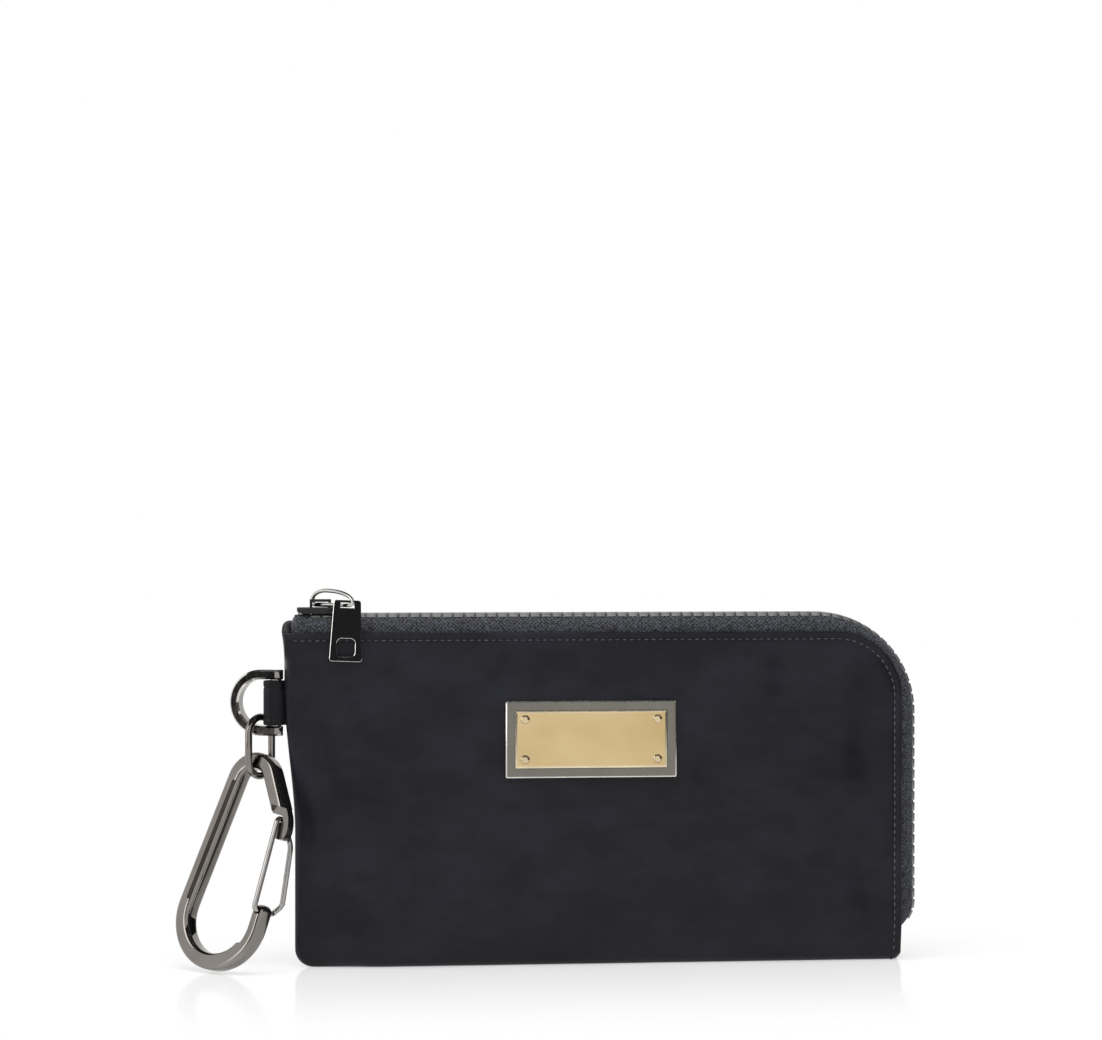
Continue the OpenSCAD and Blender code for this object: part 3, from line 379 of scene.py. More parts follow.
mats = {
    "teeth": metal("teeth_metal", srgb(160, 160, 160), 0.46, wear=0.12),
    "slider": metal("slider_metal", srgb(60, 60, 63), 0.5, wear=0.1),
    "ring": metal("ring_metal", srgb(214, 212, 208), 0.1),
    "frame": metal("frame_metal", srgb(124, 121, 113), 0.24, wear=0.08, dull=0.9),
    # Lighter metals for the chamfer faces of frame, plate, pull and D-ring: painted highlights
    "bevel": metal("bevel_painted_highlight", srgb(222, 219, 212), 0.12),
    "cream_highlight": metal("plate_edge_painted_highlight", srgb(236, 222, 190), 0.2),
    "rivets": metal("rivet_metal", srgb(222, 204, 168), 0.14),
    "d_ring": metal("d_ring_metal", srgb(150, 147, 144), 0.07, wear=0.03),
    "chrome": metal("dark_chrome", srgb(140, 135, 130), 0.07, wear=0.03),
    "gate": metal("wire_metal", srgb(172, 169, 166), 0.1, wear=0.03),
    "gold": gold_plate(),
    "black": coated("black_enamel", 400, (0.12, 0.18), Base_Color=srgb(8, 8, 10), Specular_IOR_Level=0.12),
    "board": coated("board", 500, (0.5, 0.7), Base_Color=srgb(50, 50, 50)),
    # The nylon's wide range from dark to light: random tone, widened to stand in for the satin's uneven sheen
    # (painted sheen)
    "nylon": cloth_mat(
        "nylon_satin", srgb(7, 7, 12), srgb(28, 28, 39),
        rough=0.34, thread=0.36, spec=0.22, sheen=0.04, blotch=0.0014,
    ),
    "lining": cloth_mat(
        "lining_cloth", srgb(70, 70, 75), srgb(104, 104, 110), rough=0.6, thread=0.6, spec=0.25, sheen=0.2,
    ),
    "webbing": cloth_mat(
        "webbing_cloth", srgb(11, 11, 15), srgb(27, 27, 33), rough=0.36, thread=0.5, spec=0.16, sheen=0.04,
    ),
    "thread": stitch_thread(),
    "tape": tape_knit(),
}


def smooth_faces(mesh, sharp=None):
    """Smooth shading; edges above the angle stay sharp."""
    mesh.polygons.foreach_set("use_smooth", [True] * len(mesh.polygons))
    if sharp:
        mesh.set_sharp_from_angle(angle=math.radians(sharp))


def finish_piece(obj, body, node):
    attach(obj, body)
    if node:
        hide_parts(node)
    return obj


def add_mesh(name, verts, faces, mat, node=None, slot=None, body="pouch", sharp=None, uv=None):
    """A new piece from points in millimetres, in place of a CAD node where one is given."""
    mesh = new_mesh(name, verts, faces)
    smooth_faces(mesh, sharp)
    if uv is not None:
        index = np.empty(len(mesh.loops), int)
        mesh.loops.foreach_get("vertex_index", index)
        mesh.uv_layers.new(name="UVMap").data.foreach_set("uv", np.asarray(uv, float)[index].ravel())
    mesh.materials.append(mats[mat])
    return finish_piece(new_object(name, mesh), body, node)


def second_mat(piece, mat, chosen):
    """Gives the chosen faces a second material."""
    piece.data.materials.append(mats[mat])
    for k in chosen:
        piece.data.polygons[k].material_index = 1


def grid_faces(rows, cols, flip=False, start=0):
    a = (np.arange(rows - 1)[:, None] * cols + np.arange(cols - 1)[None, :]).ravel() + start
    quads = np.stack([a, a + 1, a + cols + 1, a + cols], 1)
    return quads[:, ::-1] if flip else quads


def shells(groups, joined=False, flip=False):
    """Points and faces of tubes, each through its rings of points, capped or joined up."""
    verts, faces = [], []
    for rings in groups:
        first, count, sides = len(verts), len(rings), len(rings[0])
        verts += [p for ring in rings for p in ring]
        tube = []
        for k in range(count if joined else count - 1):
            a, b = k * sides, (k + 1) % count * sides
            tube += [(a + n, a + (n + 1) % sides, b + (n + 1) % sides, b + n) for n in range(sides)]
        if not joined:
            tube += [range(sides - 1, -1, -1), range((count - 1) * sides, count * sides)]
        faces += [[first + i for i in (f[::-1] if flip else f)] for f in tube]
    return verts, faces


def wire(path, radius, joined=False, sides=20):
    """Rings of points round a path."""
    path = np.asarray(path, float)
    run = np.roll(path, -1, 0) - np.roll(path, 1, 0) if joined else np.gradient(path, axis=0)
    run /= np.linalg.norm(run, axis=1)[:, None]
    side = np.cross(run[0], (0.3, 0.5, 0.8))
    angles = [2 * math.pi * i / sides for i in range(sides)]
    rings = []
    for p, way, r in zip(path, run, np.broadcast_to(radius, len(path))):
        side = side - way * side.dot(way)
        side /= np.linalg.norm(side)
        face = np.cross(way, side)
        rings.append([p + r * (math.cos(a) * side + math.sin(a) * face) for a in angles])
    return rings


def arc(centre, radius, start, end, steps):
    a = np.radians(np.linspace(start, end, steps + 1))
    return np.stack([centre[0] + radius * np.cos(a), centre[1] + radius * np.sin(a)], 1)


def round_box(x, y, r, steps=6):
    """A rectangle with rounded corners."""
    middles = ((x - r, y - r), (r - x, y - r), (r - x, r - y), (x - r, r - y))
    return np.concatenate([arc(c, r, 90 * k, 90 * k + 90, steps) for k, c in enumerate(middles)])


def swung(points, at, angle):
    """Points turned about the upright axis and moved."""
    turn = Matrix.Rotation(math.radians(angle), 3, "Z")
    return [tuple(Vector(at) + turn @ Vector(tuple(map(float, p)))) for p in points]


# Cloth simulation of a panel: sewn at its edges, a little longer than its seams, so it puckers
SIM_COLS, SIM_ROWS, SIM_SCALE = 68, 38, 10
SIM_FRAMES, SIM_CAP, SIM_EDGE = 20, 0.6, 0.001
SIM_LOW, SIM_TALL, SIM_LEFT, SIM_RIGHT = 3, PANEL_H - 5.5, 2.0, 2.6
PLATE_PAD = 2.0
CLOTH = {
    "quality": 6, "mass": 0.3, "tension_stiffness": 18, "compression_stiffness": 18, "shear_stiffness": 8,
    "bending_stiffness": 1.2, "tension_damping": 8, "compression_damping": 8, "vertex_group_mass": "pin",
    "shrink_min": -0.014, "use_pressure": True, "uniform_pressure_force": 0.4,
}


def sim_span(z):
    """The left and right ends of the simulated sheet."""
    return left_at(z) + SIM_LEFT, right_at(z) - SIM_RIGHT


def simulate(name, with_plate):
    """How far the simulated sheet stands out from its rest shape."""
    u, v = (k.ravel() for k in np.meshgrid(np.linspace(0, 1, SIM_COLS), np.linspace(0, 1, SIM_ROWS)))
    z = SIM_LOW + SIM_TALL * v
    x0, x1 = sim_span(z)
    x = x0 + (x1 - x0) * u
    rest = np.stack([x, -half_t(x, z), z], 1)
    mesh = new_mesh(name, rest * MM * SIM_SCALE, grid_faces(SIM_ROWS, SIM_COLS), 1)
    obj = new_object(name, mesh)
    pinned = (np.minimum(u, v) < SIM_EDGE) | (np.maximum(u, v) > 1 - SIM_EDGE)
    if with_plate:
        wide = np.abs(x - PLATE_X) < FRAME_W / 2 + PLATE_PAD
        pinned |= wide & (np.abs(z - PLATE_Z) < FRAME_H / 2 + PLATE_PAD)
    obj.vertex_groups.new(name="pin").add(np.nonzero(pinned)[0].tolist(), 1.0, "REPLACE")
    cloth = obj.modifiers.new("cloth", "CLOTH")
    for key, value in CLOTH.items():
        setattr(cloth.settings, key, value)
    cloth.settings.effector_weights.gravity = 0
    cloth.point_cache.frame_start = 1
    cloth.point_cache.frame_end = SIM_FRAMES
    for step in range(1, SIM_FRAMES + 1):
        scene.frame_set(step)
    done = obj.evaluated_get(bpy.context.evaluated_depsgraph_get()).to_mesh()
    moved = np.empty(len(done.vertices) * 3)
    done.vertices.foreach_get("co", moved)
    out = rest[:, 1] - moved.reshape(-1, 3)[:, 1] / (MM * SIM_SCALE)
    scene.frame_set(1)
    bpy.data.objects.remove(obj)
    bpy.data.meshes.remove(mesh)
    return np.clip(out, -SIM_CAP, SIM_CAP).reshape(SIM_ROWS, SIM_COLS)


def spline_at(grid, u, v):
    """Smooth values between the points of a grid, by cubic B-splines."""
    total = np.zeros_like(u)
    rows, cols = grid.shape
    fu, fv = np.clip(u, 0, 1) * (cols - 1), np.clip(v, 0, 1) * (rows - 1)
    iu, iv = np.floor(fu).astype(int), np.floor(fv).astype(int)

    def weights(t):
        rise, fall = (-3 * t**3 + 3 * t**2 + 3 * t + 1) / 6, (3 * t**3 - 6 * t**2 + 4) / 6
        return (1 - t) ** 3 / 6, fall, rise, t**3 / 6

    for j, wv in enumerate(weights(fv - iv)):
        row = np.clip(iv + j - 1, 0, rows - 1)
        for i, wu in enumerate(weights(fu - iu)):
            total += wv * wu * grid[row, np.clip(iu + i - 1, 0, cols - 1)]
    return total


def round_steps(r):
    """Steps in from an edge that follow a quarter round."""
    return [r * (1 - math.cos(math.radians(90 * k / 8))) for k in range(9)]


# Panels: a sheet turned under at the base, closed round at the seam and hemmed along the zip
SEAM_R, BASE_R, TOE_SEAM, SEAM_HALF = 2.2, 3.0, 2.0, 0.06
EDGE_STEPS = [0, 0.12, 0.3, 0.5, 0.75, 1.1, 1.5, 1.9, 2.1, 2.3, 2.5, 2.8, 3.3, 4.0, 5.5]
SEAM_STEPS = round_steps(SEAM_R) + [3.0, 4.0, 5.5]
BASE_STEPS = round_steps(BASE_R) + [3.7, 4.8, 6.3]
MID_COLS, MID_ROWS, MID_LOW = 104, 58, 8
UNDER_ROWS, UNDER_LIFT = (0.0, 0.4, 0.8), 0.12
HEM_W, HEM_T, HEM_R, HEM_FOOT, STITCH_D, STITCH_SINK = 1.8, 0.35, 0.7, 2.4, 2.25, 0.3
HEM_TURN = ((0.0, 0.6), (0.25, 1.0), (1.5, 1.05), (4.5, 1.05))
ZIP_PUCKER, SEAM_PUCKER = 0.05, 0.07

# The pull's place on the front, with the slider at each end of its run
PULL_AT, PULL_Z, PULL_HALF, PULL_SOFT, PULL_PRESS = (-75.5, 62.5), 96.0, (6.0, 13.0), 8, 0.2


def seam_y(z):
    """Half gap at the left seam, wider where the strap goes in."""
    slot = ease((STRAP_W / 2 + 1.6 - np.abs(z - STRAP_Z)) / 1.2)
    return SEAM_HALF + (STRAP_T + 0.12 - SEAM_HALF) * slot


def hem_out(d):
    """The hem's relief: a band, the groove of its stitches and a rounded edge."""
    band = HEM_T * (1 - ease((d - HEM_W) / 0.8))
    return band - STITCH_SINK * bell(d, STITCH_D, 0.35) - HEM_R * (1 - quarter(d, HEM_R))


def clear_of(x, z, middle, half, soft):
    """0 inside a rectangle, 1 from a soft margin outwards."""
    return ease(np.maximum(np.abs(x - middle[0]) - half[0], np.abs(z - middle[1]) - half[1]) / soft)


def clear_of_pull(x, z):
    free = 1.0
    for pull_x in PULL_AT:
        free = free * clear_of(x, z, (pull_x, PULL_Z), PULL_HALF, PULL_SOFT)
    return free


def folds(x, z):
    """Slack in the cloth, flat round the plate, the pull and the edges, with a ridge along the seam."""
    a = x - left_at(z)
    wave = 0.58 * np.sin(x / 8.7 + z / 13 + 0.4 * np.sin(z / 9)) * np.sin(z / 15 + 0.5)
    wave = wave + 0.5 * np.sin(x / 23 - z / 6.3 + 0.8 * np.sin(x / 31))
    wave = wave + 0.28 * np.sin(x / 5.1 + z / 11 + 2) * np.sin(x / 29 + z / 17)
    wave = wave * ease((zip_depth(x, z) - 4) / 10) * ease((a - 4) / 8) * ease((z - 3) / 10)
    ridge = 0.7 * bell(a, 6 + 1.2 * np.sin(z / 13), 2.4)
    valley = 0.3 * bell(a, 12.5 + 2 * np.sin(z / 17 + 1), 3)
    wave = wave + (ridge - valley) * ease((z - 22) / 20) * ease((96 - z) / 10)
    wave = wave * clear_of(x, z, (PLATE_X, PLATE_Z), (FRAME_W / 2, FRAME_H / 2), 10)
    return wave * clear_of_pull(x, z)


def panel_y(x, z, sim):
    """Distance of the panel's face from the middle plane."""
    d, a, b = zip_depth(x, z), x - left_at(z), right_at(z) - x
    closed_left = 1 - ease((z - NOTCH_Z + 3) / 3.5)
    closed_right = 1 - ease(z / 2.5)
    f = (1 - closed_left * (1 - quarter(a, SEAM_R))) * (1 - closed_right * (1 - quarter(b, TOE_SEAM)))
    x0, x1 = sim_span(np.clip(z, SIM_LOW, SIM_LOW + SIM_TALL))
    slack = spline_at(sim, (x - x0) / (x1 - x0), (z - SIM_LOW) / SIM_TALL)
    free = clear_of_pull(x, z)
    out = half_t(x, z) + slack * free + folds(x, z)
    along = np.where(x > X_RIGHT - CORNER_R, 2 * X_RIGHT - z, x)
    pucker = np.sin(along / 1.9) + 0.7 * np.sin(along / 3.1 + 1) + 0.8 * np.sin(along / 5.3 + 2)
    out = out + ZIP_PUCKER * pucker * bell(d, 4.2, 2.2) * free - PULL_PRESS * (1 - free)
    pucker = np.sin(z / 1.7) + 0.8 * np.sin(z / 2.9 + 1)
    out = out + SEAM_PUCKER * pucker * bell(a, 3.5, 3) * closed_left
    out = out + hem_out(d) * (1 - closed_right)
    low = seam_y(z) * closed_left
    return low + (out - low) * f


def panel_rows(side, sim):
    """The panel's points, row by row from the fold at the base up to the zip."""
    edge_in = np.array(EDGE_STEPS[-2::-1])
    zs = BASE_STEPS + list(np.linspace(MID_LOW, PANEL_H - EDGE_STEPS[-1], MID_ROWS)) + list(PANEL_H - edge_in)
    rows = []
    for z in zs:
        x0, x1 = float(left_at(z)), float(right_at(z))
        mid = np.linspace(x0 + SEAM_STEPS[-1], x1 - EDGE_STEPS[-1], MID_COLS)
        x = np.concatenate([x0 + np.array(SEAM_STEPS[:-1]), mid, x1 - edge_in])
        zz = np.full_like(x, z)
        y = panel_y(x, zz, sim)
        if z < BASE_R:
            y = y - np.minimum(BASE_R, y * 0.7) * (1 - quarter(zz, BASE_R))
            y = np.maximum(SEAM_HALF * 0.5, y)
        rows.append(np.stack([x, side * y, zz], 1))
    under = [rows[0] * (1, k, 1) + (0, 0, UNDER_LIFT * (1 - k)) for k in UNDER_ROWS]
    return np.stack(under + rows)


def panel(side, sim):
    """side is -1 for the front and 1 for the back."""
    grid = panel_rows(side, sim)
    n_rows, cols = grid.shape[:2]
    verts = grid.reshape(-1, 3)
    # The hem turns in over the edge and runs back inside
    index = np.arange(n_rows * cols).reshape(n_rows, cols)
    high = grid[:, 0, 2]
    left = index[high > NOTCH_Z, 0].tolist()
    rim = left + index[-1, 1:-1].tolist() + index[high > HEM_FOOT, -1][::-1].tolist()
    cx, cz = X_RIGHT - CORNER_R, PANEL_H - CORNER_R
    turned = []
    for k, i in enumerate(rim):
        x, y, z = verts[i]
        if k < len(left) - 1:
            way = (1.0, 0.0)
        elif k == len(left) - 1:
            way = (0.7, -0.7)
        elif x > cx and z > cz:
            way = -np.array([x - cx, z - cz]) / math.hypot(x - cx, z - cz)
        else:
            way = (0.0, -1.0) if z > cz else (-1.0, 0.0)
        turned += [(x + way[0] * run, y - side * deep, z + way[1] * run) for run, deep in HEM_TURN]
    hem = len(verts) + np.arange(len(turned)).reshape(-1, len(HEM_TURN))
    hem = np.column_stack([rim, hem])
    strips = np.stack([hem[:-1, :-1], hem[1:, :-1], hem[1:, 1:], hem[:-1, 1:]], 2).reshape(-1, 4)
    faces = np.concatenate([grid_faces(n_rows, cols, side > 0), strips[:, ::-1] if side > 0 else strips])
    return np.concatenate([verts, np.array(turned)]), faces


SIDES = {"front": -1, "back": 1}
sims = {k: simulate(k + "_cloth", k == "front") for k in SIDES}
for which in SIDES:
    piece = add_mesh(which + "_cloth", *panel(SIDES[which], sims[which]), "nylon", which + "_panel")

WALL_ROWS, WALL_SAG = 12, 0.5


def wall(name, mat, x, low, top, cols, inset, widest=HALF_BELLY):
    """A sheet across from panel to panel, sagging to the left."""
    v = np.linspace(-1, 1, cols)
    grid = []
    for z in np.linspace(low, top, WALL_ROWS):
        half = min(widest, half_at(x, min(z, PANEL_H)) - inset)
        grid.append(np.stack([x - WALL_SAG * (1 - v * v), v * half, np.full(cols, z)], 1))
    return add_mesh(name, np.concatenate(grid), grid_faces(WALL_ROWS, cols), mat)


# Wall that closes the mouth below the end of the zip
toe = wall("toe_cloth", "nylon", X_RIGHT - 2.6, low=0.05, top=15.0, cols=14, inset=0.7)

# Stitches along the hem
STITCH_STEP, STITCH_L, STITCH_R, STITCH_OUT, STITCH_DIP = 2.2, 1.45, 0.21, 0.1, 0.2
STITCH_FROM, STITCH_FOOT, STITCH_SIDES, STITCH_RINGS = X_LEFT - 1.2, 1.5, 8, 7


def l_path(s, start, top, side, r):
    """A place and its turn on a path along the top, round a corner and down the side."""
    run, corner = side - r - start, r * math.pi / 2
    a = min(max(0.0, s - run), corner) / r
    x = start + min(s, run) + r * math.sin(a)
    return x, top - r * (1 - math.cos(a)) - max(0.0, s - run - corner), a


def stitches(name):
    side, sim = SIDES[name], sims[name]
    top, right, r = PANEL_H - STITCH_D, X_RIGHT - STITCH_D, CORNER_R - STITCH_D
    length = right - r - STITCH_FROM + r * math.pi / 2 + top - r - STITCH_FOOT
    groups = []
    for k in range(int(length / STITCH_STEP)):
        x, z, a = l_path((k + 0.5) * STITCH_STEP, STITCH_FROM, top, right, r)
        dx, dz = math.cos(a), -math.sin(a)
        rings = []
        for t in np.linspace(-1, 1, STITCH_RINGS):
            px, pz = x + dx * t * STITCH_L / 2, z + dz * t * STITCH_L / 2
            py = float(panel_y(np.array([px]), np.array([pz]), sim)[0]) + STITCH_OUT - STITCH_DIP * t * t
            ring = arc((0, 0), STITCH_R * math.sqrt(max(0.05, 1 - t**4)), 0, 360, STITCH_SIDES)[:-1]
            rings.append([(px - dz * c, side * (py + out), pz + dx * c) for c, out in ring])
        groups.append(rings)
    add_mesh(name + "_stitches", *shells(groups, flip=side > 0), "thread", slot="nylon")


for which in SIDES:
    stitches(which)

# Linings: thin sheets inside the panels
LINING_ROWS, LINING_COLS, LINING_LOW, LINING_HALF = 26, 40, 1.4, 0.3


def lining(name):
    side, rows, cols, low = SIDES[name], LINING_ROWS, LINING_COLS, LINING_LOW
    top, r = PANEL_H - LINING_EDGE, CORNER_R - LINING_EDGE
    z = low + (top - low) * np.sin(np.linspace(0, math.pi / 2, rows))[:, None]
    x0, x1 = left_at(z) + LINING_INSET, X_RIGHT - LINING_EDGE - drawn_in(z - top + r, r)
    x = x0 + (x1 - x0) * (1 - np.cos(np.linspace(0, math.pi, cols))) / 2
    verts = []
    for inset in (PANEL_T + LINING_GAP, PANEL_T + LINING_GAP + LINING_T):
        y = side * np.maximum(LINING_HALF, half_t(x, z) - inset)
        verts.append(np.stack([x, y, z + 0 * x], 2).reshape(-1, 3))
    index = np.arange(rows * cols).reshape(rows, cols)
    rim = [*index[0], *index[1:, -1], *index[-1, -2::-1], *index[-2:0:-1, 0]]
    faces = [*grid_faces(rows, cols, side > 0), *grid_faces(rows, cols, side < 0, rows * cols)]
    for a, b in zip(rim, rim[1:] + rim[:1]):
        quad = [a, a + rows * cols, b + rows * cols, b]
        faces.append(quad if side < 0 else quad[::-1])
    piece = add_mesh(name + "_lining_cloth", np.concatenate(verts), faces, "lining", name + "_lining")


for which in SIDES:
    lining(which)

# The tooth line: along the top, round the corner, down the side and in at the foot
ZIP_X0, TOOTH_Z, TOOTH_X = X_LEFT + TAPE_INSET, PANEL_H + ZIP_RISE, X_RIGHT + ZIP_SIDE
ROLL_X = TOOTH_X - ROLL_R
CORNER_S = TOOTH_X - ZIP_CORNER_R - ZIP_X0 + ZIP_CORNER_R * math.pi / 2
ROLL_S = CORNER_S + TOOTH_Z - ZIP_CORNER_R - ROLL_Z
ZIP_LEN = ROLL_S + ROLL_R * math.radians(ROLL_ANGLE)
WIDEST_GAP, GAP_STEPS = 12.0, 24


def zip_section(s):
    """A place on the tooth line, the ways along and out, the panel's edge with its gap, and the sewn half."""
    x, z, a = l_path(min(s, ROLL_S), ZIP_X0, TOOTH_Z, TOOTH_X, ZIP_CORNER_R)
    if s > ROLL_S:
        a += (s - ROLL_S) / ROLL_R
        x, z = ROLL_X + ROLL_R * math.sin(a), ROLL_Z + ROLL_R * math.cos(a)
    low, gap = 0.0, WIDEST_GAP
    for _ in range(GAP_STEPS):
        mid = (low + gap) / 2
        outside = zip_depth(x - mid * math.sin(a), z - mid * math.cos(a)) < 0
        low, gap = (mid, gap) if outside else (low, mid)
    at, along = np.array([x, 0, z]), np.array([math.cos(a), 0, -math.sin(a)])
    out = np.array([math.sin(a), 0, math.cos(a)])
    edge = at - gap * out
    x_in = min(edge[0], float(right_at(edge[2])))
    return at, along, out, gap, edge, half_at(x_in, edge[2]) - PANEL_T - SEW_GAP


TAPE_ARCH, TAPE_FOLD, TAPE_STATIONS, TAPE_DROP, TAPE_CLOSE = 16, 1.4, 190, 0.4, 0.75
TAPE_NOSE = np.radians((36, 72, 108, 144))


def zip_tape(name):
    """A knitted tape: sewn inside the panel, arched up to the teeth, its end folded down at the mouth."""
    side = SIDES[name]
    stations = np.concatenate([np.linspace(-TAPE_FOLD, 0, 7)[:-1], np.linspace(0, ZIP_LEN, TAPE_STATIONS)])
    arch, roll_hem = np.linspace(math.pi / 2, 0, TAPE_ARCH + 1), ROLL_R - ZIP_SIDE - ROLL_CORE
    rings, uv = [], []
    for s in stations:
        _, _, out, gap, edge, sewn = zip_section(s)
        tucked = float(ease(-s / TAPE_FOLD))
        rise = gap * (1 - TAPE_DROP * tucked) + TAPE_T / 2
        bead = BEAD_Y * (1 - TAPE_CLOSE * tucked)
        hem = TAPE_HEM + (roll_hem - TAPE_HEM) * float(ease((s - ROLL_S + ROLL_LEAD) / ROLL_LEAD))
        lines = []
        for inset in (0.0, TAPE_T):
            lift = np.concatenate([[-hem], (rise - inset) * np.cos(arch)])
            y = np.concatenate([[sewn - inset], bead + (sewn - bead - inset) * np.sin(arch)])
            lines.append(edge + np.outer(lift, out) + np.outer(side * y, (0, 1, 0)))
        outer, inner = lines
        tip, across = (outer[-1] + inner[-1]) / 2, (outer[-1] - inner[-1]) / 2
        inward = np.array([0, -side * TAPE_T / 2, 0])
        nose = [tip + across * math.cos(t) + inward * math.sin(t) for t in TAPE_NOSE]
        rings.append([*outer, *nose, *inner[::-1]])
        v = np.concatenate([[0], np.cumsum(np.linalg.norm(np.diff(outer, axis=0), axis=1))])
        uv += [(s, k) for k in np.concatenate([v, [v[-1] + 0.2] * len(nose), v[::-1]])]
    tube = shells([rings], flip=side < 0)
    piece = add_mesh(name + "_tape_cloth", *tube, "tape", name + "_zip_tape", sharp=50, uv=uv)


for which in SIDES:
    zip_tape(which)

# Teeth: how far the legs reach down the tape, the halves of leg and head, and the soft edges
TOOTH_COUNT, CHAIN_S, TOOTH_SOFT, TOOTH_LIFT = 80, 5.95, 0.2, 0.03
LEG_END, LEG_T, LEG_HALF, HEAD_HALF, TOOTH_TOP, TOOTH_LOW = 32.0, 0.5, 1.34, 0.74, 0.9, -1.0
HEEL_Y, NECK_Y, HEAD_Z, HEAD_SLOPE = BEAD_Y - 0.42, 0.9, 0.7, 0.4


def tooth_profile(sewn, gap):
    """A tooth's outline across the zip, from the leg on the tape to the head past the middle."""
    wide, rise = sewn - BEAD_Y, gap + TAPE_T / 2

    def on_tape(share, off):
        w = math.radians(LEG_END * share)
        n = np.array([math.sin(w) / wide, math.cos(w) / rise])
        n /= np.linalg.norm(n)
        return np.array([BEAD_Y + wide * math.sin(w), rise * math.cos(w) - gap]) + n * off

    return np.array([
        *[on_tape(share, TOOTH_LIFT) for share in (1, 0.6, 0.3, 0)],
        (HEEL_Y, TAPE_T / 2 + TOOTH_LIFT), (HEEL_Y, TOOTH_LOW), (-TOOTH_REACH, TOOTH_LOW),
        (-TOOTH_REACH, HEAD_Z), (-TOOTH_REACH + HEAD_SLOPE, TOOTH_TOP), (NECK_Y, TOOTH_TOP),
        *[on_tape(share, LEG_T) for share in (0, 0.35, 0.7)],
        on_tape(1, LEG_T * 0.6),
    ])


def zip_teeth(name, lead):
    """Teeth clamped over the tape's edge: a broad foot on the tape, a neck and a head past the middle."""
    side, teeth = SIDES[name], []
    for k in range(TOOTH_COUNT):
        at, along, out, gap, _, sewn = zip_section(CHAIN_S + (k + lead) * TOOTH_PITCH)
        profile = tooth_profile(sewn, gap)
        run = np.roll(profile, -1, 0) - np.roll(profile, 1, 0)
        inward = np.stack([run[:, 1], -run[:, 0]], 1) / np.linalg.norm(run, axis=1)[:, None]
        inward *= np.where(((profile.mean(0) - profile) * inward).sum(1) > 0, 1, -1)[:, None]
        half = HEAD_HALF + (LEG_HALF - HEAD_HALF) * ease((profile[:, 0] - 0.6) / 1.6)
        rings = []
        for t, shrink in ((-1, 1), (-1, 0), (1, 0), (1, 1)):
            points = profile + inward * TOOTH_SOFT * 0.8 * shrink
            reach = t * (half - TOOTH_SOFT * (1 - shrink))
            rings.append([at + along * r + out * z + (0, side * y, 0) for (y, z), r in zip(points, reach)])
        teeth.append(rings)
    tubes = shells(teeth, flip=side > 0)
    add_mesh(name + "_teeth_fine", *tubes, "teeth", name + "_zip_teeth", sharp=40)


zip_teeth("front", lead=0.0)
zip_teeth("back", lead=0.5)

# Rolled lip of the mouth at the open end of the zip, from the front panel round to the back one
LIP_PATH = [
    (-94.2, -6.1, 99.6), (-95.1, -5.3, 100.6), (-95.5, -3.6, 101.6), (-95.4, -1.4, 102.7),
    (-94.9, 0.8, 103.5), (-94.0, 2.9, 103.9), (-92.8, 4.6, 103.8), (-91.6, 5.5, 102.6),
]
LIP_T, LIP_ROUND, LIP_STEPS = 0.9, 9, 6
# Below the roll: a drop, and how far the outer and the inner face stand out in lip thicknesses
LIP_HEM = [(1.2, 0.62, -0.42), (3.0, 0.3, -0.5)]
# Down to the seam, narrowing with the notch: a height, a share of the width and a shift to the right
LIP_FOOT = [(96.4, 1.0, 0.1), (94.2, 0.72, 0.3), (92.6, 0.3, 0.6), (91.4, 0.05, 0.8)]
LIP_OUT, LIP_IN = 0.1, -0.45


def smooth_path(points, steps):
    """Points on a Catmull-Rom curve."""
    pts = np.array(points, float)
    pts = np.concatenate([[2 * pts[0] - pts[1]], pts, [2 * pts[-1] - pts[-2]]])
    out = []
    for k in range(1, len(pts) - 2):
        p0, p1, p2, p3 = pts[k - 1 : k + 3]
        square, cube = 2 * p0 - 5 * p1 + 4 * p2 - p3, 3 * p1 - p0 - 3 * p2 + p3
        for t in (i / steps for i in range(steps)):
            out.append(0.5 * (2 * p1 + (p2 - p0) * t + square * t**2 + cube * t**3))
    return np.array(out + [pts[-2]])


def mouth_lip():
    path = smooth_path(LIP_PATH, LIP_STEPS)
    run = np.gradient(path, axis=0)
    flat = np.stack([run[:, 1], -run[:, 0], np.zeros(len(run))], 1)
    rings = []
    for p, n in zip(path, -flat / np.linalg.norm(flat, axis=1)[:, None]):
        ring = []
        for a in np.radians(np.linspace(-90, 90, LIP_ROUND)):
            ring.append(p + n * (LIP_T / 2 * math.sin(a)) + (0, 0, LIP_T / 2 * (math.cos(a) - 1)))
        feet = [np.array([p[0] + tuck, p[1] * narrow, z]) for z, narrow, tuck in LIP_FOOT]
        outer = [p + n * off * LIP_T - (0, 0, drop) for drop, off, _ in LIP_HEM]
        inner = [p + n * off * LIP_T - (0, 0, drop) for drop, _, off in LIP_HEM]
        outer += [foot + n * LIP_OUT for foot in feet]
        inner += [foot + n * LIP_IN for foot in feet]
        rings.append(ring + outer + inner[::-1])
    count, sides = len(rings), len(rings[0])
    piece = add_mesh("mouth_lip", *shells([rings], flip=True), "nylon", sharp=60)
    first_inside = LIP_ROUND + len(LIP_HEM) + len(LIP_FOOT)
    inside = [k for k in range((count - 1) * sides) if k % sides >= first_inside or k % sides < 2]
    second_mat(piece, "lining", inside)


mouth_lip()

# Lining behind the lip, in front of the ends of the tapes
mouth = wall("mouth_lining", "lining", -92.3, low=87.0, top=103.3, cols=9, inset=1.3, widest=4.4)

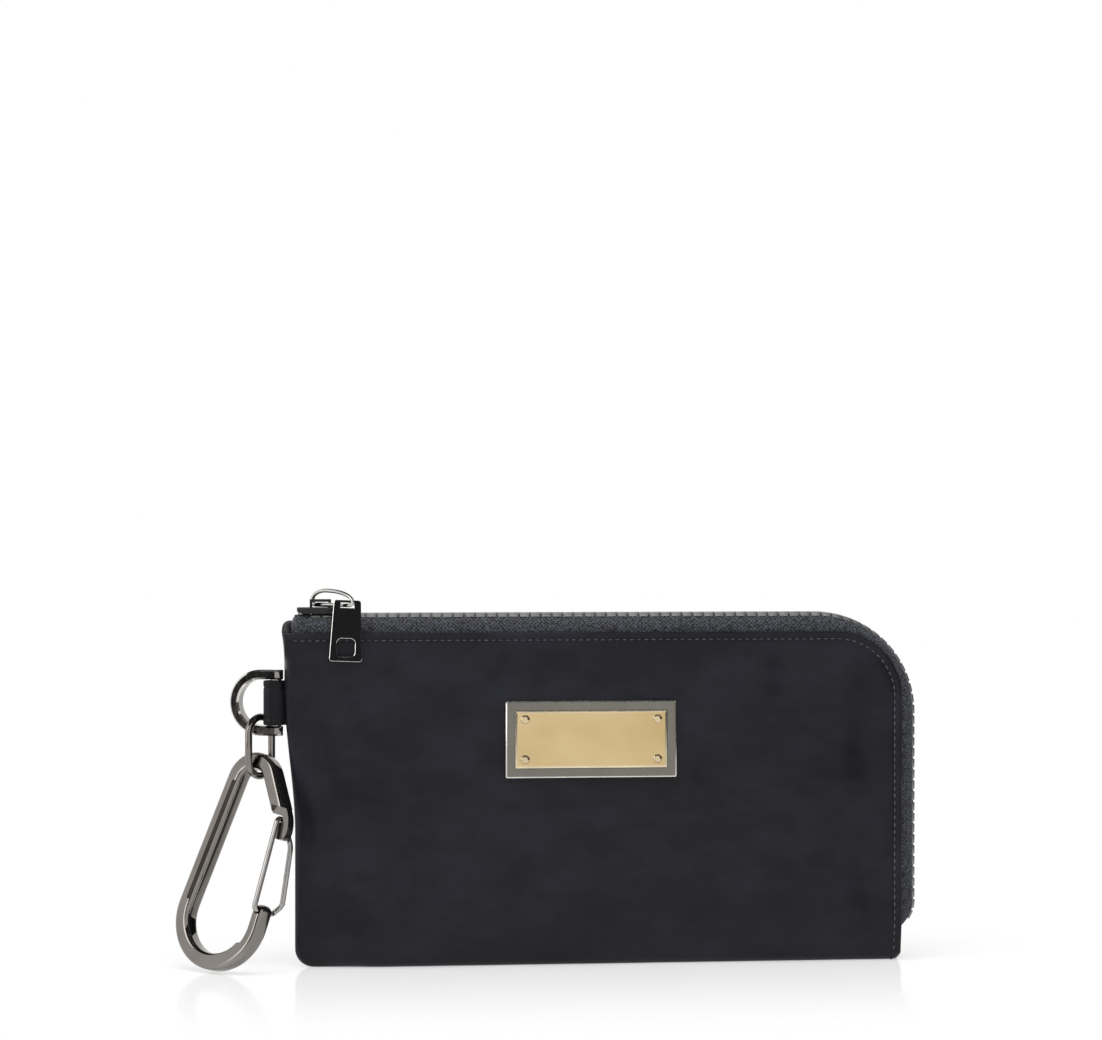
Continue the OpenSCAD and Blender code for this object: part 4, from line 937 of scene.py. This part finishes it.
# Webbing loop: one ribbon from the seam, round the bar of the D-ring and back
LOOP_LEAD, LOOP_REACH, LOOP_POWER, LOOP_FACES = 3.6, 1.1, 6, 0.02
STRAP_STEPS = np.array([0, 0.08, 0.3, 0.7, 1.2, 1.6, 1.9, 2.1, 2.3, 2.6, 3.0, 3.6, 4.8])
STRAP_EDGE_R, GROOVE_AT, GROOVE_W, GROOVE_D = 0.35, 2.1, 0.3, 0.42


def side_loop():
    tail = float(left_at(STRAP_Z)) + STRAP_IN
    r, half = LOOP_R + STRAP_T / 2, STRAP_T / 2 + LOOP_FACES
    lead = np.linspace(tail, BAR_X + LOOP_LEAD, 10)[:-1]
    xs = np.concatenate([lead, np.linspace(BAR_X + LOOP_LEAD, BAR_X, 22)])
    lift = np.sqrt(np.maximum(0, r * r - (xs - BAR_X) ** 2))
    ys = (half**LOOP_POWER + lift**LOOP_POWER) ** (1 / LOOP_POWER)
    around = arc((BAR_X - LOOP_REACH, 0), ys[-1], 90, 270, 22)[1:-1]
    path = np.concatenate([np.stack([xs, ys], 1), around, np.stack([xs, -ys], 1)[::-1]])
    run = np.gradient(path, axis=0)
    run /= np.linalg.norm(run, axis=1)[:, None]
    zs = STRAP_W / 2 - STRAP_STEPS
    zs = np.concatenate([zs, [0], -zs[::-1]])
    edge = STRAP_W / 2 - np.abs(zs)
    groove = 0.92 - GROOVE_D * bell(edge, GROOVE_AT, GROOVE_W)
    thick = STRAP_T / 2 * quarter(edge, STRAP_EDGE_R) * groove
    thick *= 1 + 0.08 * ease((1.8 - edge) / 0.5)
    rings = []
    for p, n in zip(path, np.stack([run[:, 1], -run[:, 0]], 1)):
        near, far = (np.column_stack([p + np.outer(k * thick, n), STRAP_Z + zs]) for k in (1, -1))
        rings.append([*near, *far[-2:0:-1]])
    piece = add_mesh("side_loop_cloth", *shells([rings]), "webbing", "side_loop")


side_loop()

# Frame and plate: each an inset from the frame's edge, a depth in front of the panel and a corner round
FRAME_PROFILE = [
    (0.05, 0.0, 0.45), (0.0, 0.06, 0.5), (0.0, 1.0, 0.5), (0.36, 1.22, 0.4), (0.42, 1.23, 0.4),
    (2.62, 1.23, 0.3), (2.7, 1.21, 0.3), (2.8, 1.1, 0.25), (2.8, 0.8, 0.25), (6.0, 0.8, 0.2),
]
PLATE_FACE = 1.51
PLATE_PROFILE = [
    (2.9, 0.8, 0.2), (2.9, 1.16, 0.2), (3.5, 1.5, 0.15),
    (3.56, PLATE_FACE, 0.15), (3.72, PLATE_FACE, 0.15), (9.0, PLATE_FACE, 0.1),
]
# Rivets: a radius and a height above the plate
RIVET_AT, RIVET_SIDES = (20.0, 6.0), 24
RIVET_PROFILE = [
    (1.42, 0.0), (1.39, 0.07), (1.3, 0.1), (1.25, 0.03), (1.2, 0.14), (1.02, 0.32), (0.7, 0.44), (0.35, 0.5),
]


def framed(node, profile, mat, slot, highlight_mat, highlight_band):
    """A plate from rounded rectangles; one band between two of them gets a lighter metal, a painted
    highlight.
    """
    rings = []
    for inset, depth, soft in profile:
        outline = round_box(FRAME_W / 2 - inset, FRAME_H / 2 - inset, soft, 4)
        rings.append([(PLATE_X + x, FACE_Y - depth, PLATE_Z + z) for x, z in outline])
    piece = add_mesh(node + "_fine", *shells([rings]), mat, node, slot, sharp=20)
    n = len(rings[0])
    second_mat(piece, highlight_mat, range(highlight_band * n, (highlight_band + 1) * n))


def rivets():
    groups = []
    for dx, dz in ((-1, -1), (1, -1), (1, 1), (-1, 1)):
        middle = (PLATE_X + dx * RIVET_AT[0], PLATE_Z + dz * RIVET_AT[1])
        rounds = [(arc(middle, r, 0, 360, RIVET_SIDES)[:-1], high) for r, high in RIVET_PROFILE]
        groups.append([[(x, FACE_Y - PLATE_FACE - high, z) for x, z in ring] for ring, high in rounds])
    add_mesh("plate_rivets_fine", *shells(groups), "rivets", "plate_rivets", sharp=50)


framed("plate_frame", FRAME_PROFILE, "frame", "frame", "bevel", 2)
framed("face_plate", PLATE_PROFILE, "gold", "plate", "cream_highlight", 1)
rivets()


# Small rigid parts: the CAD solids with rounded edges
def rounded(node, offset, mat, body, segments=2, highlight_metal=None, depth=1.0, shift=(0, 0, 0)):
    """The chamfers' metal, when given, is a lighter one: a painted highlight; depth below 1 makes them
    shallower from front to back.
    """
    bm = bmesh.new()
    bm.from_mesh(nodes[node].data)
    bmesh.ops.remove_doubles(bm, verts=bm.verts, dist=2e-6)
    bmesh.ops.dissolve_limit(bm, angle_limit=math.radians(1), verts=bm.verts, edges=bm.edges)
    sharp = [e for e in bm.edges if len(e.link_faces) == 2 and e.calc_face_angle() > math.radians(30)]
    bmesh.ops.scale(bm, vec=(1, 1 / depth, 1), verts=bm.verts)
    bmesh.ops.bevel(
        bm, geom=sharp, offset=offset * MM, offset_type="OFFSET", segments=segments, profile=0.5,
        affect="EDGES", clamp_overlap=True, material=1 if highlight_metal else -1,
    )
    bmesh.ops.scale(bm, vec=(1, depth, 1), verts=bm.verts)
    bmesh.ops.translate(bm, vec=Vector(shift) * MM, verts=bm.verts)
    mesh = bpy.data.meshes.new(node + "_fine")
    bm.to_mesh(mesh)
    bm.free()
    mesh.polygons.foreach_set("use_smooth", [p.material_index == 0 for p in mesh.polygons])
    mesh.materials.append(mats[mat])
    if highlight_metal:
        mesh.materials.append(mats[highlight_metal])
    obj = new_object(node + "_fine", mesh)
    obj.modifiers.new("normals", "WEIGHTED_NORMAL").keep_sharp = True
    finish_piece(obj, body, node)


# The pull's chamfers get a lighter metal: a painted highlight
rounded("pull_tab", 0.45, "black", "pull", segments=1, highlight_metal="bevel", depth=0.6)
rounded("slider_body", 0.4, "slider", "slider", segments=3)
rounded("top_stops", 0.2, "teeth", "pouch")
rounded("bottom_stop", 0.25, "teeth", "pouch", shift=(ZIP_SIDE - ZIP_RISE, 0, 0))
nodes["plate_backer"].data.materials.clear()
nodes["plate_backer"].data.materials.append(mats["board"])


# Pull ring: a wire, straight below, round behind and arched down in front, thinner in the pull's slot
def pull_ring():
    left, high = 0.55 - RING_TAIL, RING_H - 1.1
    peak, nose_x = left + RING_PEAK, RING_END - RING_NOSE_R
    u = np.cos(np.radians(np.linspace(2, 90, 24)))
    crown = (1 - u**RING_POWER) ** (1 / RING_POWER)
    v = np.radians(np.linspace(90, 180, 18))[1:]
    path = np.concatenate([
        np.stack([np.linspace(left + RING_R, nose_x, 14), np.zeros(14)], 1)[1:-1],
        arc((nose_x, RING_NOSE_R), RING_NOSE_R, -90, 0, 8),
        np.stack([peak + (RING_END - peak) * u, RING_NOSE_R + (high - RING_NOSE_R) * crown], 1),
        np.stack([peak + RING_PEAK * np.cos(v), RING_R + (high - RING_R) * np.sin(v)], 1),
        arc((left + RING_R, RING_R), RING_R, 180, 270, 8)[1:],
    ])
    in_slot = ease((path[:, 0] - RING_END + 8) / 2) * ease((3.4 - path[:, 1]) / 1.2)
    points = swung([(x, 0, z) for x, z in path], (BAIL_X, 0, BAIL_Z), -RING_TURN)
    tube = shells([wire(points, RING_D / 2 - RING_THIN * in_slot, joined=True)], joined=True)
    add_mesh("pull_ring_fine", *tube, "ring", "pull_ring", body="pull_ring")


pull_ring()

# D-ring: a flat band with chamfered edges on two arms, and the bar between them
CHAMFER, BAR_OVER = 0.55, 0.3


def d_ring():
    mid, w = BAND_IN + BAND_W / 2, BAND_W / 2
    tips = -BAND_D / 2 * np.cos(np.radians(np.linspace(12, 90, 7)))
    arm = [(x, math.sqrt(BAND_D**2 / 4 - min(x, 0.0) ** 2)) for x in [*tips, 1.5, 3.0]]
    stations = [(x, -mid, 0.0, -1.0, h) for x, h in arm]
    for a in np.radians(np.linspace(-90, 90, 41)):
        ux, uz = math.cos(a), math.sin(a)
        stations.append((ARM_L + mid * ux, mid * uz, ux, uz, BAND_D / 2))
    stations += [(x, mid, 0.0, 1.0, h) for x, h in arm[::-1]]
    band = []
    for x, z, ux, uz, h in stations:
        c = min(CHAMFER, 0.6 * h)
        half = [(w, h - c), (w - c, h), (c - w, h), (-w, h - c)]
        section = half + [(-u, -v) for u, v in half]
        band.append([(x + ux * u, v, z + uz * u) for u, v in section])
    bar_z = BAND_IN + BAR_OVER
    verts, faces = shells([band, wire([(0, 0, -bar_z), (0, 0, bar_z)], BAR_D / 2, sides=24)])
    points = swung(verts, (BAR_X, 0, STRAP_Z), 180 - DRING_SWING)
    piece = add_mesh("d_ring_fine", points, faces, "d_ring", "d_ring", body="d_ring", sharp=30)
    # Every second face round the band is a chamfer, given a lighter metal as a painted highlight
    second_mat(piece, "bevel", range(0, (len(band) - 1) * len(band[0]), 2))


d_ring()


def chain_link():
    r, straight = (LINK_W - LINK_D) / 2, LINK_H - LINK_W
    path = np.concatenate([arc((0, 0), r, 0, 180, 24), arc((0, -straight), r, 180, 360, 24)])
    points = swung([(x, 0, z) for x, z in path], (LINK_AT[0], LINK_AT[1], LINK_AT[2] - r), LINK_TURN)
    tube = shells([wire(points, LINK_D / 2, joined=True, sides=24)], joined=True)
    add_mesh("chain_link_fine", *tube, "chrome", "chain_link", "link", "link")


chain_link()


def on_arc(centre, radius, angle):
    a = math.radians(angle)
    return (centre[0] + radius * math.cos(a), centre[1] + radius * math.sin(a))


# Carabiner: built upright in its own frame, then hung in the link
HANG_X, HANG_Z = HANG * math.sin(math.radians(CARAB_TILT)), -HANG * math.cos(math.radians(CARAB_TILT))
CARAB = (
    Matrix.Translation(Vector(PIVOT))
    @ Matrix.Rotation(math.radians(CARAB_TURN - 90), 4, "Z")
    @ Matrix.Rotation(math.radians(-CARAB_LEAN), 4, "X")
    @ Matrix.Rotation(math.radians(CARAB_TILT), 4, "Y")
    @ Matrix.Translation((HANG_X, 0, HANG_Z))
)
STEP_START, STEP_HIGH, STEP_LOW = -4, -26.0, -31.0
SPINE_ANGLE = 180 - SPINE_LEAN
SPINE_LOW, SPINE_TOP = on_arc(LOW_C, CARAB_LOW_R, SPINE_ANGLE), on_arc((0, 0), CARAB_TOP_R, SPINE_ANGLE)
NOSE_CUT, NOTCH_W, PIN_HOLE_R, CHANNEL_END = 3.5, GATE_D + 0.6, GATE_D / 2 + 0.35, 1


def placed(points):
    return np.array([tuple(CARAB @ Vector(tuple(map(float, p)))) for p in points])


def carabiner_bar():
    """The bar swept from the hinge, under, up the spine and over to the nose."""
    # Each station has a place, a direction outwards, a trim off its inside and a share of the full section
    tip_r = CARAB_W / 2 - HINGE_TRIM / 2
    stations = []

    def bend(centre, radius, start, end, steps, trim=0.0):
        for k in range(steps + 1):
            angle = start + (end - start) * k / steps
            stations.append((on_arc(centre, radius, angle), math.radians(angle), trim, 1.0))

    for t in np.radians(range(84, -1, -12)):
        stations.append(((HINGE[0], HINGE[1] + tip_r * math.sin(t)), 0.0, HINGE_TRIM, math.cos(t)))
    bend(LOW_C, CARAB_LOW_R, STEP_START, STEP_HIGH, 6, HINGE_TRIM)
    bend(LOW_C, CARAB_LOW_R, STEP_LOW, SPINE_ANGLE - 360, 34)
    for k in range(1, 16):
        p = tuple(a + (b - a) * k / 16 for a, b in zip(SPINE_LOW, SPINE_TOP))
        stations.append((p, math.radians(SPINE_ANGLE), 0.0, 1.0))
    bend((0.0, 0.0), CARAB_TOP_R, SPINE_ANGLE, NOSE_ANGLE, 30)
    bend(NOSE_C, NOSE_R, NOSE_ANGLE, 0, 8)
    section = round_box(CARAB_W / 2, CARAB_D / 2, CARAB_ROUND)
    rings = []
    for (x, z), a, trim, full in stations:
        mid = trim / 2
        wide = np.where(section[:, 0] < 0, section[:, 0] * (1 - 2 * trim / CARAB_W), section[:, 0])
        wide = mid + (wide - mid) * full
        ways = zip(wide, section[:, 1] * full)
        rings.append([(x + r * math.cos(a), y, z + r * math.sin(a)) for r, y in ways])
    verts, faces = shells([rings], flip=True)
    return placed(verts), faces


def prism(outline, low, high):
    """A solid along the carabiner's Y from an outline in its X-Z plane."""
    n = len(outline)
    verts = [(x, low, z) for x, z in outline] + [(x, high, z) for x, z in outline]
    faces = [tuple(range(n)), tuple(range(2 * n - 1, n - 1, -1))]
    faces += [(k, k + n, (k + 1) % n + n, (k + 1) % n) for k in range(n)]
    return placed(verts), faces


def solid(name, verts, faces):
    mesh = new_mesh(name, verts, faces)
    bm = bmesh.new()
    bm.from_mesh(mesh)
    bmesh.ops.recalc_face_normals(bm, faces=bm.faces)
    bm.to_mesh(mesh)
    bm.free()
    return new_object(name, mesh)


def combine(obj, operation, shape):
    """Joins or cuts with another solid, which is removed."""
    tool = solid("tool", *shape)
    mod = obj.modifiers.new("cut", "BOOLEAN")
    mod.operation, mod.object, mod.solver = operation, tool, "EXACT"
    done = bpy.data.meshes.new_from_object(obj.evaluated_get(bpy.context.evaluated_depsgraph_get()))
    obj.modifiers.clear()
    spent = [obj.data, tool.data]
    obj.data = done
    bpy.data.objects.remove(tool)
    for mesh in spent:
        bpy.data.meshes.remove(mesh)


def channel_outline():
    """The groove along the spine."""
    up = np.array(SPINE_TOP) - SPINE_LOW
    length = float(np.linalg.norm(up)) - 2 * CHANNEL_END
    up /= np.linalg.norm(up)
    across = np.array([up[1], -up[0]])
    r = CHANNEL_W / 2
    slot = np.concatenate([arc((0, length - r), r, 0, 180, 12), arc((0, r), r, 180, 360, 12)])
    return [np.array(SPINE_LOW) + across * (CHANNEL_IN + p[0]) + up * (CHANNEL_END + p[1]) for p in slot]


def carabiner():
    """The bar with a tongue at its nose, grooves along the spine, a hook for the gate and the pin's hole."""
    body = solid("carabiner_fine", *carabiner_bar())
    x, z = NOSE_END
    w, d, t = CARAB_W, CARAB_D, TONGUE_D / 2
    nose = [*(np.array(NOSE_END) + arc((0, 0), w / 2, 180, 360, 18)), (x + w / 2, z + 1), (x - w / 2, z + 1)]
    combine(body, "UNION", prism(nose, -t, t))
    cheek = [(x - w, z - NOSE_CUT), (x + w, z - NOSE_CUT), (x + w, z + TONGUE_L), (x - w, z + TONGUE_L)]
    hook = [
        *arc(HOOK, NOTCH_W / 2, -90, 90, 12),
        (HOOK[0] - w, HOOK[1] + NOTCH_W / 2), (HOOK[0] - w, HOOK[1] - NOTCH_W / 2),
    ]
    channel, pin_hole = channel_outline(), arc(PIN, PIN_HOLE_R, 0, 345, 23)
    for outline, low, high in (
        (channel, d / 2 - CHANNEL_D, d), (channel, -d, CHANNEL_D - d / 2),
        (cheek, t, d), (cheek, -d, -t), (hook, -d, d), (pin_hole, -d, d),
    ):
        combine(body, "DIFFERENCE", prism(outline, low, high))
    smooth_faces(body.data, 35)
    body.data.materials.clear()
    body.data.materials.append(mats["chrome"])
    finish_piece(body, "carabiner", "carabiner_body")


carabiner()


def wire_gate():
    """A loop of wire from one hinge end, round the nose and back, its far leg bowed out as a spring."""
    length = math.dist(HOOK, PIN)
    way = (np.array(HOOK) - PIN) / length
    foot, rise = GATE_FOOT_W / 2, np.arange(1, 24) / 24

    def half(foot_y, bow):
        """Half the loop: across, up and out."""
        line = np.concatenate([
            [(1.0, 0.0)],
            arc((foot_y - GATE_BEND, GATE_BEND), GATE_BEND, -90, 0, 8),
            np.stack([foot_y + (LEG_Y - foot_y) * rise, GATE_BEND + (length - 2 * GATE_BEND) * rise], 1),
            arc((LEG_Y - GATE_BEND, length - GATE_BEND), GATE_BEND, 0, 90, 8),
        ])
        up = line[:, 1]
        return np.column_stack([line, bow * ease(up / 3.5) * ease((length - GATE_BEND - up) / 7)])

    path = np.concatenate([half(foot, 0.0) * (-1, 1, 1), half(foot + GATE_STAND, GATE_BOW)[::-1]])
    y, up, out = path.T
    points = np.stack([PIN[0] + up * way[0] + out * way[1], y, PIN[1] + up * way[1] - out * way[0]], 1)
    tube = shells([wire(placed(points), GATE_D / 2)])
    add_mesh("wire_gate_fine", *tube, "gate", "wire_gate", body="gate", sharp=60)


wire_gate()
